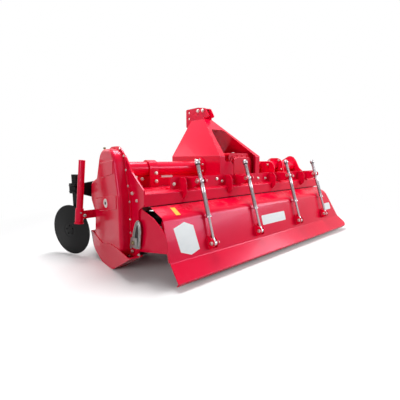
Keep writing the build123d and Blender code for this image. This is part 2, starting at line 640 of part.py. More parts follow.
def flap_panel():
    """Folded trailing flap, flared at its right end, with its hinge knuckles."""
    panel = folded_sheet(FLAP_LINE, FLAP_RADII, SHEET, FLAP_START, FLAP_LIP_END + 10)
    outline = [(FLAP_START, 10), (FLAP_START, 500), (FLAP_TOP_END, 500), (FLAP_TOP_END, 402),
               (FLAP_LOW_END, 146), (FLAP_LIP_END, 74), (FLAP_LOW_END - 30, 10)]
    panel = panel & across(outline, [0, 0, 0, 60, 60, 22, 0], -700, 0)
    # each knuckle's tab hooks under the hood's rear band to the panel's inner face
    tab = [(HINGE_Y - 3, HINGE_Z), (HINGE_Y - 6.3, HINGE_Z - 29.8), (-324.5, 457.8), (-344, 448), (-322, 436),
           (HINGE_Y + 4, HINGE_Z - 38), (HINGE_Y + 6, HINGE_Z)]
    for x in KNUCKLE_X:
        low, high = x + 1, x + 1 + KNUCKLE_LENGTH
        knuckle = rod_x(HINGE_Y, HINGE_Z, KNUCKLE, low, high) + plate(tab, 0, low, high)
        panel = panel + (knuckle - rod_x(HINGE_Y, HINGE_Z, HINGE_PIN + RUN_CLEAR, low - 1, high + 1))
    return panel


def hinge_knuckles():
    """Knuckles under the hood's rear band."""
    knuckles = []
    for x in KNUCKLE_X:
        low = x - KNUCKLE_LENGTH
        body = rod_x(HINGE_Y, HINGE_Z, KNUCKLE, low, x)
        strap = box(low, x, BAND_Y + SHEET, BAND_Y + SHEET + 6, HINGE_Z, HINGE_Z + 44)
        knuckles.append(body + strap - rod_x(HINGE_Y, HINGE_Z, HINGE_PIN, low - 1, x + 1))
    return knuckles


def hinge_rod():
    """Long pin through all the knuckles."""
    return rod_x(HINGE_Y, HINGE_Z, HINGE_PIN, KNUCKLE_X[0] - 36, KNUCKLE_X[-1] + KNUCKLE_LENGTH + 10)


def flap_clevises():
    """Pairs of rounded ears on the flap that hold the rods' eyes."""
    low_z, high_z = EYE_Z - EAR_REACH, EYE_Z + EAR_REACH
    outline = [(on_flap(low_z), low_z), (EYE_Y - 20, EYE_Z - 26), (EYE_Y - 20, EYE_Z + 24),
               (on_flap(high_z), high_z)]
    ears = []
    for x in ROD_X:
        for low in (x - EAR_IN - EAR_THICK, x + EAR_IN):
            ear = plate(outline, [0, 24, 24, 0], low, low + EAR_THICK)
            ears.append(ear - rod_x(EYE_Y, EYE_Z, EYE_BOLT + EYE_PLAY, low - 1, low + EAR_THICK + 1))
    return ears


# ---- spring rods -------------------------------------------------------------------------

ROD_DY, ROD_DZ = TRUNNION_Y - EYE_Y, TRUNNION_Z - EYE_Z
ROD_SPAN = math.hypot(ROD_DY, ROD_DZ)
ROD_TILT = math.degrees(math.atan2(ROD_DY, ROD_DZ))
LUG_IN = 26.0
STUB_PIN = 9.0
SEAT_GAP = 0.3              # a spring or stop lies this far from what it presses on
SLEEVE_RADIUS = 14.0
NUT_HEIGHT, WASHER_THICK = 18.0, 5.0


def on_rod(x):
    """Place of one rod: local Z runs up along the rod from the trunnion's axis."""
    return Pos(x, TRUNNION_Y, TRUNNION_Z) * Rot(-ROD_TILT, 0, 0)


def upright_rod(radius, low, high):
    """A round bar along the rod, from low to high above the trunnion."""
    return Pos(0, 0, (low + high) / 2) * Cylinder(radius, high - low)


def cross_rod(radius, length, height):
    """A round bar across the rod at a height above the trunnion."""
    return Pos(0, 0, height) * Rot(0, 90, 0) * Cylinder(radius, length)


def spring_rod():
    """One rod with its eye, collar, stop sleeve, washer and top nut."""
    washer_low = ROD_ABOVE - 8 - NUT_HEIGHT - WASHER_THICK
    shank = upright_rod(ROD_RADIUS, -ROD_SPAN + EYE_RADIUS - 4, ROD_ABOVE)
    eye = cross_rod(EYE_RADIUS, 2 * EAR_IN - 2, -ROD_SPAN)
    bolt = cross_rod(EYE_BOLT, 2 * (EAR_IN + EAR_THICK + 12), -ROD_SPAN)
    collar = upright_rod(SPRING_RADIUS + 4, -COLLAR_DROP - 12, -COLLAR_DROP)
    sleeve = upright_rod(SLEEVE_RADIUS, TRUNNION_RADIUS + SEAT_GAP, washer_low)
    washer = upright_rod(SPRING_RADIUS + 3, washer_low, washer_low + WASHER_THICK)
    nut = Pos(0, 0, washer_low + WASHER_THICK) * extrude(RegularPolygon(16, 6), NUT_HEIGHT)
    return join([shank, eye, bolt, collar, sleeve, washer, nut])


def spring_rods():
    """The four rods in their places."""
    one = spring_rod()
    return [on_rod(x) * one for x in ROD_X]


def trunnions():
    """Cross pins in the lugs; each has a slide hole for its rod."""
    body = cross_rod(TRUNNION_RADIUS, 2 * LUG_IN - 2, 0)
    pins = cross_rod(STUB_PIN, 2 * (LUG_IN + PLATE + 4), 0)
    one = body + pins - upright_rod(ROD_RADIUS + RUN_CLEAR, -40, 40)
    return [on_rod(x) * one for x in ROD_X]


def lift_springs():
    """Plain sleeves that stand for the coil springs between trunnion and collar."""
    one = upright_rod(SPRING_RADIUS, -COLLAR_DROP + SEAT_GAP, -TRUNNION_RADIUS - SEAT_GAP)
    one = one - upright_rod(ROD_RADIUS + 0.5, -COLLAR_DROP, 0)
    return [on_rod(x) * one for x in ROD_X]


def rod_lugs():
    """Pairs of lugs on the rear bar that hold the trunnions."""
    outline = [(BAR_Y, HOOD_TOP + 4), (BAR_Y, BAR_TOP - 2), (TRUNNION_Y - 16, TRUNNION_Z + 18),
               (TRUNNION_Y - 18, TRUNNION_Z - 18), (BAND_Y - 20, HOOD_TOP + 4)]
    lugs = []
    for x in ROD_X:
        for low in (x - LUG_IN - PLATE, x + LUG_IN):
            lug = plate(outline, [0, 0, 17, 17, 30], low, low + PLATE)
            lugs.append(lug - rod_x(TRUNNION_Y, TRUNNION_Z, STUB_PIN + RUN_CLEAR, low - 1, low + PLATE + 1))
    return lugs


# ---- disc --------------------------------------------------------------------------------

DISC_Z = DISC_RADIUS + DISC_LIFT
HUB_RADIUS, HUB_LENGTH, AXLE_RADIUS = 44.0, 36.0, 12.0
DISC_SHEET = 4.0
SHANK_THICK, SHANK_WIDE = 28.0, 44.0
CLAMP_LOW, CLAMP_HIGH = 486.0, 566.0


def disc_place():
    """Place of the disc: local X is its axis, away from the machine's side is -X."""
    return Pos(DISC_X, DISC_Y, DISC_Z) * Rot(0, 0, DISC_TURN)


def disc_bar(radius, low, high):
    """A round bar along the disc's axis, in the disc's own place."""
    return Pos((low + high) / 2, 0, 0) * Rot(0, 90, 0) * Cylinder(radius, high - low)


def disc_coulter():
    """Dished cutting disc, its round side outwards, with a hub inside the dish."""
    flat = HUB_RADIUS + 18
    profile = [(-DISC_DISH, 0), (-DISC_DISH, flat), (-DISC_SHEET, DISC_RADIUS), (0, DISC_RADIUS),
               (-DISC_DISH + DISC_SHEET, flat), (-DISC_DISH + DISC_SHEET, 0)]
    face = make_face(Plane.XZ * FilletPolyline(*profile, radius=[0, 60, 0, 0, 60, 0], close=True))
    hub_low = -DISC_DISH + DISC_SHEET
    body = revolve(face, Axis.X, 360) + disc_bar(HUB_RADIUS, hub_low, hub_low + HUB_LENGTH)
    return disc_place() * (body - disc_bar(AXLE_RADIUS + RUN_CLEAR, hub_low + 2, hub_low + HUB_LENGTH + 1))


def disc_axle():
    """Stub axle with a collar, welded into the shank's foot."""
    hub_low = -DISC_DISH + DISC_SHEET
    shank_face = SHANK_OFFSET - SHANK_THICK / 2
    stub = disc_bar(AXLE_RADIUS, hub_low + 2.3, shank_face)
    return disc_place() * (stub + disc_bar(AXLE_RADIUS + 10, hub_low + HUB_LENGTH + 5, shank_face))


def shank_block(thick, wide, low, high):
    """An upright block about the shank's middle, turned with the disc."""
    block = Pos(SHANK_OFFSET, 0, (low + high) / 2) * Box(thick, wide, high - low)
    return Pos(DISC_X, DISC_Y, 0) * Rot(0, 0, DISC_TURN) * block


def disc_shank():
    """Upright flat bar that carries the disc's axle."""
    return shank_block(SHANK_THICK, SHANK_WIDE, DISC_Z - 34, SHANK_TOP)


def disc_clamp():
    """Clamp block round the shank."""
    block = shank_block(SHANK_THICK + 32, SHANK_WIDE + 24, CLAMP_LOW, CLAMP_HIGH)
    return block - disc_shank()


def disc_arm():
    """Wedge-shaped arm from the toolbar's front face out to the clamp."""
    outline = [(-132, 488), (-132, 560), (0, 580), (70, 552), (270, 552), (270, 480), (60, 480), (0, 442)]
    arm = across(outline, [0, 0, 24, 30, 10, 10, 30, 24], TOOLBAR_FRONT + 10, TOOLBAR_FRONT + 45)
    foot = box(40, 250, TOOLBAR_FRONT, TOOLBAR_FRONT + 10, HOOD_TOP - TOOLBAR + 5, HOOD_TOP - 5)
    clamp = shank_block(SHANK_THICK + 32, SHANK_WIDE + 24, CLAMP_LOW - 40, CLAMP_HIGH + 40)
    return largest(arm + foot - clamp)


# ---- parking stand -----------------------------------------------------------------------

SLEEVE_LOW, SLEEVE_HIGH = 16.0, 112.0       # the fixed sleeve, measured up the leg from its foot
STAY_REAR, STAY_FRONT, STAY_LOW, STAY_HIGH = 312.0, 330.0, 312.0, 372.0


def stand_place():
    """Place of the leg: local Z runs up it from its foot."""
    return Pos(STAND_X, STAND_Y, STAND_BOTTOM) * Rot(0, STAND_LEAN, 0)


def stand_leg():
    """Round parking leg with a flared foot."""
    leg = upright_rod(STAND_RADIUS, 0, STAND_LENGTH)
    return stand_place() * (leg + upright_rod(STAND_RADIUS + 10, 0, 8))


def stand_bracket():
    """Sleeve round the leg and the flat stay that joins it to the left end plate."""
    sleeve = stand_place() * upright_rod(STAND_RADIUS + 6, SLEEVE_LOW, SLEEVE_HIGH)
    stay = box(STAND_X + 20, 0, STAY_REAR, STAY_FRONT, STAY_LOW, STAY_HIGH)
    bore = stand_place() * upright_rod(STAND_RADIUS + RUN_CLEAR, SLEEVE_LOW - 20, SLEEVE_HIGH + 20)
    return largest(sleeve + stay - bore - slab(case_outline(CASE_RIM), -CASE_FLANGE, 0))


# ---- the whole machine -------------------------------------------------------------------

def group(shapes):
    """Several solids in one node."""
    return Compound([solid for shape in shapes for solid in shape.solids()])


def build():
    """Every node of the machine by name, in the machine's own frame."""
    guard, skid = gearcase_guard(), right_skid()
    return {
        "hood": hood(),
        "left_end_plate": left_end_plate(),
        "right_end_plate": right_end_plate(),
        "side_shields": group(side_shields()),
        "gearcase_flange": gearcase_flange(),
        "gearcase_cover": gearcase_cover(),
        "gearcase_guard": guard,
        "right_skid": skid,
        "left_skid_adjuster": skid_adjuster(-6, 0, guard),
        "right_skid_adjuster": skid_adjuster(FRAME_WIDTH, FRAME_WIDTH + 6, skid),
        "left_tube": cross_tube(PLATE, LEFT_SIDE_X, LEFT_SIDE_X - TUBE_FLANGE_THICK),
        "right_tube": cross_tube(RIGHT_SIDE_X, RIGHT_IN, RIGHT_SIDE_X),
        "tube_strap": tube_strap(),
        "tube_gussets": group(tube_gussets()),
        "rear_bar": rear_bar(),
        "hood_ribs": group(hood_ribs() + rear_bar_feet() + tube_webs()),
        "toolbar": toolbar(),
        "mast_left_side": mast_side(-1),
        "mast_right_side": mast_side(1),
        "mast_rear_tie": mast_rear_tie(),
        "top_link_bracket": group(top_link_bracket()),
        "lower_hitch_plates": group(lower_hitch_plates()),
        "lower_pins": group(lower_pins()),
        "gearbox": gearbox(),
        "gearbox_cover": gearbox_cover(),
        "side_drives": group(side_drives()),
        "input_shaft": input_shaft(),
        "rotor_shaft": rotor_shaft(),
        "rotor_blades": group(rotor_blades()),
        "right_bearing": right_bearing(),
        "flap_panel": flap_panel(),
        "flap_clevises": group(flap_clevises()),
        "hinge_knuckles": group(hinge_knuckles()),
        "hinge_rod": hinge_rod(),
        "rod_lugs": group(rod_lugs()),
        "trunnions": group(trunnions()),
        "lift_springs": group(lift_springs()),
        "spring_rods": group(spring_rods()),
        "disc_coulter": disc_coulter(),
        "disc_axle": disc_axle(),
        "disc_shank": disc_shank(),
        "disc_clamp": disc_clamp(),
        "disc_arm": disc_arm(),
        "stand_bracket": stand_bracket(),
        "stand_leg": stand_leg(),
    }


MACHINE = build()
BOXES = [shape.bounding_box() for shape in MACHINE.values()]
SHIFT_X = (min(b.min.X for b in BOXES) + max(b.max.X for b in BOXES)) / 2
SHIFT_Y = (min(b.min.Y for b in BOXES) + max(b.max.Y for b in BOXES)) / 2

if __name__ == "__main__":
    os.makedirs("parts", exist_ok=True)
    for name, shape in MACHINE.items():
        export_step(Pos(-SHIFT_X, -SHIFT_Y, 0) * shape, f"parts/{name}.step")
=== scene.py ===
"""Looks of a tractor-mounted rotavator: finishes, fasteners, springs, welds, labels and studio.

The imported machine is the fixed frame. Places are written in the machine's own millimetres: x to
the right from the left end plate's outer face, y forward from the cross tube's axis, z up from
the floor. Cad turns them into the frame's metres.
"""

import json
import logging
import math
import random
from collections.abc import Callable, Sequence
from dataclasses import dataclass
from enum import Enum

import bmesh
import bpy
from mathutils import Matrix, Vector

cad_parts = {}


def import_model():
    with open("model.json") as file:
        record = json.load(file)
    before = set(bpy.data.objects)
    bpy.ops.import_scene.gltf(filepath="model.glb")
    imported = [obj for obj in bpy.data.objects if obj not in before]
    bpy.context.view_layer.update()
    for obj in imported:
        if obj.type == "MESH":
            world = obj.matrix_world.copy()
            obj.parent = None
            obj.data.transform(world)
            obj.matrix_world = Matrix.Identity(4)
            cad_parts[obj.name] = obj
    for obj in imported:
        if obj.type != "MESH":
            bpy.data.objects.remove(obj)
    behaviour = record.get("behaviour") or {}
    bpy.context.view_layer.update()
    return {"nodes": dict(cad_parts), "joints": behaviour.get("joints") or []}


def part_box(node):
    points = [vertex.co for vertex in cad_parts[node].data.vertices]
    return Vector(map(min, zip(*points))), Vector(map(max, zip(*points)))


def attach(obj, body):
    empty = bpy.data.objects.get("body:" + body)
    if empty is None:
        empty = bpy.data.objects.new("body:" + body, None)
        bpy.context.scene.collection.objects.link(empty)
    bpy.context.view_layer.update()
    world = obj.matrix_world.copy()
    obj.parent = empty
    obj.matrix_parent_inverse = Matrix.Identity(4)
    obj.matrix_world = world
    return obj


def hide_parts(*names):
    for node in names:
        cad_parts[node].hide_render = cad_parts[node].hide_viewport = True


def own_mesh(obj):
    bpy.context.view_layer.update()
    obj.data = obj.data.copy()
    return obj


LOG = logging.getLogger("rotavator")
MM = 0.001
FLAT = 0.2              # how far a point of a flat face may lie from it
BETWEEN_RODS = 60.0     # a wider step along x than this leads to the next trunnion
Point = tuple[float, float]
Place = tuple[float, float, float]


# ---- shader graphs -----------------------------------------------------------------------

def linear(red: float, green: float, blue: float) -> tuple[float, float, float, float]:
    """Linear colour from display values of 0 to 255.

    Args:
        red, green, blue: the colour as a screen shows it.

    Returns:
        The linear colour with full alpha.
    """
    parts = []
    for value in (red, green, blue):
        share = value / 255
        parts.append(share / 12.92 if share <= 0.04045 else ((share + 0.055) / 1.055) ** 2.4)
    return (*parts, 1.0)


class Num:
    """A number in a shader graph; arithmetic on it adds Math nodes."""

    def __init__(self, graph: "Graph", socket: bpy.types.NodeSocket) -> None:
        """Keep the graph and the output socket."""
        self.graph = graph
        self.socket = socket

    def _math(self, operation: str, first: object, second: object, clamp: bool = False) -> "Num":
        """Add one Math node.

        Args:
            operation: the node's operation.
            first, second: numbers or Num values.
            clamp: keep the result between 0 and 1.

        Returns:
            The result.
        """
        settings = {"operation": operation, "use_clamp": clamp}
        node = self.graph.add("ShaderNodeMath", settings, {0: first, 1: second})
        return Num(self.graph, node.outputs[0])

    def __add__(self, other: object) -> "Num":
        """Sum."""
        return self._math("ADD", self, other)

    __radd__ = __add__

    def __sub__(self, other: object) -> "Num":
        """Difference."""
        return self._math("SUBTRACT", self, other)

    def __rsub__(self, other: object) -> "Num":
        """Reflected difference, so that 1 - mask works."""
        return self._math("SUBTRACT", other, self)

    def __mul__(self, other: object) -> "Num":
        """Product."""
        return self._math("MULTIPLY", self, other)

    __rmul__ = __mul__

    def clamp(self) -> "Num":
        """The value kept between 0 and 1."""
        return self._math("ADD", self, 0.0, clamp=True)

    def step(self, low: float, high: float) -> "Num":
        """Smooth step from 0 at low to 1 at high."""
        node = self.graph.add("ShaderNodeMapRange", {"interpolation_type": "SMOOTHSTEP"},
                              {"Value": self, "From Min": low, "From Max": high})
        return Num(self.graph, node.outputs["Result"])


class Graph:
    """The node tree of one material or of the world."""

    def __init__(self, tree: bpy.types.NodeTree) -> None:
        """Start from an empty tree."""
        self.tree = tree
        tree.nodes.clear()

    def add(self, kind: str, settings: dict | None = None, sockets: dict | None = None) -> bpy.types.Node:
        """Add one node of any type.

        Args:
            kind: the node's type.
            settings: its properties, set before its sockets.
            sockets: values, sockets or Num values by socket name, identifier or number.

        Returns:
            The node.
        """
        node = self.tree.nodes.new(kind)
        for key, value in (settings or {}).items():
            setattr(node, key, value)
        for key, value in (sockets or {}).items():
            target = self._input(node, key)
            source = value.socket if isinstance(value, Num) else value
            if isinstance(source, bpy.types.NodeSocket):
                self.tree.links.new(source, target)
            else:
                target.default_value = source
        return node

    @staticmethod
    def _input(node: bpy.types.Node, key: str | int) -> bpy.types.NodeSocket:
        """Find an input socket.

        Args:
            node: the node.
            key: the socket's number, identifier or name.

        Returns:
            The socket.
        """
        if isinstance(key, int):
            return node.inputs[key]
        for socket in node.inputs:
            if socket.identifier == key:
                return socket
        return node.inputs[key]

    def place(self) -> bpy.types.NodeSocket:
        """Object coordinates, in metres."""
        return self.add("ShaderNodeTexCoord").outputs["Object"]

    def stretched(self, scale: Place) -> bpy.types.NodeSocket:
        """Object coordinates scaled by axis."""
        node = self.add("ShaderNodeVectorMath", {"operation": "MULTIPLY"}, {0: self.place(), 1: scale})
        return node.outputs["Vector"]

    def noise(self, where: bpy.types.NodeSocket, scale: float, detail: float = 2.0) -> Num:
        """Noise of about 0 to 1.

        Args:
            where: coordinates.
            scale: cells a metre.
            detail: octaves.

        Returns:
            The noise.
        """
        node = self.add("ShaderNodeTexNoise", None, {"Vector": where, "Scale": scale, "Detail": detail})
        return Num(self, node.outputs["Fac"])

    def upward(self) -> Num:
        """How far the surface faces up.

        Returns:
            -1 for straight down to 1 for straight up.
        """
        normal = self.add("ShaderNodeNewGeometry").outputs["Normal"]
        node = self.add("ShaderNodeSeparateXYZ", None, {"Vector": normal})
        return Num(self, node.outputs["Z"])

    def mix(self, first: object, second: object, share: object) -> bpy.types.NodeSocket:
        """Mix of two colours.

        Args:
            first, second: colours or sockets.
            share: how much of the second.

        Returns:
            The mixed colour's socket.
        """
        node = self.add("ShaderNodeMix", {"data_type": "RGBA"},
                        {"Factor_Float": share, "A_Color": first, "B_Color": second})
        return next(s for s in node.outputs if s.identifier == "Result_Color")

    def bump(self, height: Num, distance: float, strength: float,
             normal: bpy.types.NodeSocket | None = None) -> bpy.types.NodeSocket:
        """Normal raised by a height.

        Args:
            height: 0 to 1.
            distance: metres that a height of 1 stands.
            strength: share of the effect.
            normal: the normal below it.

        Returns:
            The new normal's socket.
        """
        sockets = {"Height": height, "Distance": distance, "Strength": strength}
        if normal is not None:
            sockets["Normal"] = normal
        return self.add("ShaderNodeBump", None, sockets).outputs["Normal"]

    def rounded(self, radius: float) -> bpy.types.NodeSocket:
        """Normal with every edge rounded to a radius in metres."""
        return self.add("ShaderNodeBevel", {"samples": 4}, {"Radius": radius}).outputs["Normal"]

    def surface(self, **sockets: object) -> None:
        """Principled surface to the output.

        Args:
            sockets: values or links by socket name, with _ for a space.
        """
        named = {key.replace("_", " "): value for key, value in sockets.items()}
        shader = self.add("ShaderNodeBsdfPrincipled", None, named)
        self.add("ShaderNodeOutputMaterial", None, {"Surface": shader.outputs["BSDF"]})


# ---- finishes ----------------------------------------------------------------------------

DUST = (196, 176, 170)      # the colour of dust on faces that look up
COAT_ROUGHNESS = 0.05


@dataclass(frozen=True)
class Finish:
    """One finish; a subclass draws its nodes.

    Attributes:
        name: the material's name.
        slot: the kind of surface it stands for; not used.
    """

    name: str
    slot: str

    def material(self) -> bpy.types.Material:
        """Make the finish's material, or find it when it is made.

        Returns:
            The material.
        """
        found = bpy.data.materials.get(self.name)
        if found is None:
            found = bpy.data.materials.new(self.name)
            found.use_nodes = True
            self.draw(Graph(found.node_tree))
        return found

    def draw(self, graph: Graph) -> None:
        """Draw the nodes."""
        raise NotImplementedError


@dataclass(frozen=True)
class Paint(Finish):
    """Sprayed enamel on pressed sheet: deep colour, slight orange peel, gently uneven sheet.

    Attributes:
        colour, deep: its colour and the deeper tone in it, as a screen shows them.
        roughness, coat: of the enamel, and how much clear coat lies on it.
        gloss, shine: the highlight's tint and level.
        edge: the radius that edges seem to have, in metres.
        unevenness, peel: how far the sheet's waves and the orange peel stand, in metres.
        tone_scale, dust_scale, smear_scale, wave_scale, peel_scale: cells a metre of each.
    """

    colour: tuple[float, float, float]
    deep: tuple[float, float, float]
    roughness: float
    coat: float
    gloss: tuple[float, float, float, float] = (1.0, 0.5, 0.95, 1.0)
    shine: float = 0.22
    edge: float = 0.0016
    unevenness: float = 0.0011
    peel: float = 0.00003
    tone_scale: float = 2.3
    dust_scale: float = 17.0
    smear_scale: float = 31.0
    wave_scale: float = 4.2
    peel_scale: float = 620.0

    def draw(self, graph: Graph) -> None:
        """Draw the paint's nodes.

        Args:
            graph: the material's graph.
        """
        where = graph.place()
        cloud = graph.noise(where, self.tone_scale, 3.0)
        dust = graph.upward().step(0.55, 1.0) * graph.noise(where, self.dust_scale, 5.0).step(0.42, 0.75)
        colour = graph.mix(linear(*self.colour), linear(*self.deep), cloud.step(0.35, 0.8) * 0.55)
        colour = graph.mix(colour, linear(*DUST), dust * 0.05)
        smears = graph.noise(where, self.smear_scale, 4.0)
        roughness = (smears * 0.10 + (self.roughness - 0.05) + dust * 0.12).clamp()
        normal = graph.rounded(self.edge)
        normal = graph.bump(graph.noise(where, self.wave_scale, 1.0), self.unevenness, 1.0, normal)
        normal = graph.bump(graph.noise(where, self.peel_scale, 1.0), self.peel, 0.8, normal)
        graph.surface(Base_Color=colour, Roughness=roughness, Normal=normal, Coat_Weight=self.coat,
                      Coat_Roughness=COAT_ROUGHNESS, Specular_Tint=self.gloss, Specular_IOR_Level=self.shine)


@dataclass(frozen=True)
class Metal(Finish):
    """Plated or turned metal with fine machining lines and faint stains.

    Attributes:
        colour, stain: its colour and its stains', as a screen shows them.
        roughness: of the clean metal.
        lines, line_scale, depth: the lines' run by axis, their cells a metre and their depth.
        edge: the radius that edges seem to have, in metres.
        stain_scale: the stains' cells a metre.
    """

    colour: tuple[float, float, float]
    stain: tuple[float, float, float]
    roughness: float
    lines: tuple[float, float, float] = (1.0, 1.0, 1.0)
    line_scale: float = 300.0
    depth: float = 0.00002
    edge: float = 0.0006
    stain_scale: float = 38.0

    def draw(self, graph: Graph) -> None:
        """Draw the metal's nodes.

        Args:
            graph: the material's graph.
        """
        where = graph.place()
        lines = graph.noise(graph.stretched(self.lines), self.line_scale, 2.0)
        stains = graph.noise(where, self.stain_scale, 4.0).step(0.5, 0.85)
        colour = graph.mix(linear(*self.colour), linear(*self.stain), stains * 0.45)
        roughness = (lines * 0.16 + stains * 0.12 + (self.roughness - 0.08)).clamp()
        normal = graph.bump(lines, self.depth, 0.7, graph.rounded(self.edge))
        graph.surface(Base_Color=colour, Metallic=1.0, Roughness=roughness, Normal=normal)


@dataclass(frozen=True)
class Galvanised(Finish):
    """Hot-dipped zinc with its spangle.

    Attributes:
        colour, spangle: the zinc's colour and its darker crystals', as a screen shows them.
        metal: how metallic it is.
        cell_scale, film_scale: cells a metre of the crystals and of the dull film.
    """

    colour: tuple[float, float, float]
    spangle: tuple[float, float, float]
    metal: float = 0.85
    cell_scale: float = 110.0
    film_scale: float = 26.0

    def draw(self, graph: Graph) -> None:
        """Draw the zinc's nodes.

        Args:
            graph: the material's graph.
        """
        where = graph.place()
        cells = graph.add("ShaderNodeTexVoronoi", None, {"Vector": where, "Scale": self.cell_scale})
        tone = Num(graph, graph.add("ShaderNodeSeparateColor", None,
                                    {"Color": cells.outputs["Color"]}).outputs["Red"])
        film = graph.noise(where, self.film_scale, 4.0)
        colour = graph.mix(linear(*self.colour), linear(*self.spangle), tone * 0.6 + film * 0.3)
        roughness = (tone * 0.2 + film * 0.15 + 0.26).clamp()
        normal = graph.bump(film, 0.0003, 0.5, graph.rounded(0.0008))
        graph.surface(Base_Color=colour, Metallic=self.metal, Roughness=roughness, Normal=normal)


@dataclass(frozen=True)
class Film(Finish):
    """Blank plastic film: one colour with a cloudy tint, faint scuffs and a slight lift.

    Attributes:
        colour, tint: its colour and the cloudy tint's, as a screen shows them.
        roughness: of the film where it isn't scuffed.
        cloud_scale, scuff_scale, lift_scale: cells a metre of each.
        scuff_run: how the scuffs are squeezed by axis.
    """

    colour: tuple[float, float, float]
    tint: tuple[float, float, float]
    roughness: float = 0.32
    cloud_scale: float = 14.0
    scuff_scale: float = 60.0
    lift_scale: float = 45.0
    scuff_run: Place = (1.0, 1.0, 9.0)

    def draw(self, graph: Graph) -> None:
        """Draw the film's nodes.

        Args:
            graph: the material's graph.
        """
        where = graph.place()
        cloud = graph.noise(where, self.cloud_scale, 3.0)
        scuff = graph.noise(graph.stretched(self.scuff_run), self.scuff_scale, 3.0).step(0.55, 0.8)
        colour = graph.mix(linear(*self.colour), linear(*self.tint), cloud.step(0.4, 0.8) * 0.5)
        roughness = (scuff * 0.2 + self.roughness).clamp()
        normal = graph.bump(graph.noise(where, self.lift_scale, 2.0), 0.0002, 0.4, graph.rounded(0.0003))
        graph.surface(Base_Color=colour, Roughness=roughness, Normal=normal)


@dataclass(frozen=True)
class Rubber(Finish):
    """Rubber, plastic or sealant, matt and faintly mottled.

    Attributes:
        colour, bloom: its colour and the mottling's, as a screen shows them.
        roughness: where it isn't mottled.
        bloom_scale, grain_scale: cells a metre of the mottling and of the grain.
    """

    colour: tuple[float, float, float]
    bloom: tuple[float, float, float]
    roughness: float = 0.62
    bloom_scale: float = 22.0
    grain_scale: float = 420.0

    def draw(self, graph: Graph) -> None:
        """Draw the rubber's nodes.

        Args:
            graph: the material's graph.
        """
        where = graph.place()
        bloom = graph.noise(where, self.bloom_scale, 4.0).step(0.45, 0.8)
        colour = graph.mix(linear(*self.colour), linear(*self.bloom), bloom * 0.6)
        grain = graph.noise(where, self.grain_scale, 2.0)
        normal = graph.bump(grain, 0.00006, 0.6, graph.rounded(0.0005))
        graph.surface(Base_Color=colour, Roughness=(bloom * 0.12 + self.roughness).clamp(), Normal=normal)


RED = Paint("signal_red_enamel", "red_paint", (226, 0, 50), (202, 0, 38), 0.22, 0.08)
CAST_RED = Paint("red_enamel_on_casting", "red_paint", (216, 2, 36), (188, 0, 26), 0.34, 0.12,
                 edge=0.003, unevenness=0.0022, peel=0.0003)
WELD_RED = Paint("red_enamel_on_weld", "red_paint", (206, 2, 32), (176, 0, 24), 0.36, 0.1,
                 edge=0.0004, unevenness=0.0003, peel=0.0001)
BLACK = Paint("black_enamel", "black_paint", (12, 12, 13), (5, 5, 6), 0.44, 0.02,
              gloss=(1.0, 1.0, 1.0, 1.0), shine=0.12)
PLATED = Metal("bright_plated_steel", "plated_steel", (176, 170, 174), (138, 132, 136), 0.28,
               lines=(1.0, 1.0, 0.05), line_scale=200.0, depth=0.00001)
SPRING = Metal("plated_spring_wire", "plated_steel", (156, 151, 155), (112, 107, 111), 0.34)
BOLT = Metal("zinc_plated_bolt", "plated_steel", (202, 190, 186), (164, 148, 142), 0.36)
TURNED = Metal("turned_steel", "bare_steel", (176, 174, 172), (138, 130, 122), 0.30,
               lines=(0.1, 1.0, 1.0), line_scale=700.0)
ZINC = Galvanised("dipped_zinc", "galvanised", (178, 180, 178), (132, 136, 134))
BRASS = Metal("dull_brass", "plated_steel", (132, 122, 92), (84, 78, 60), 0.38)
WHITE_FILM = Film("white_film", "red_paint", (222, 228, 230), (206, 214, 217))
YELLOW_FILM = Film("yellow_film", "red_paint", (244, 176, 40), (226, 150, 28))
PLUG = Film("white_plug", "plated_steel", (236, 226, 224), (204, 190, 188), 0.28)
# dark red: the real sealant line on the gearcase, and painted shade in the gap behind the flap's hinges
SEALANT_AND_SHADE = Rubber("dark_red_sealant_and_painted_shade", "red_paint", (92, 4, 12), (70, 2, 8))
# black: the real rubber parts, and painted shade in the left bracket's slot
RUBBER_AND_SHADE = Rubber("black_rubber_and_painted_shade", "black_paint", (18, 18, 19), (32, 32, 34))


# ---- places ------------------------------------------------------------------------------

class Body(Enum):
    """The machine's rigid bodies."""

    FRAME = "frame"
    ROTOR = "rotor"
    INPUT = "input_shaft"
    FLAP = "flap"
    TRUNNIONS = "rod_trunnions"
    RODS = "spring_rods"
    DISC = "disc"
    STAND = "parking_stand"


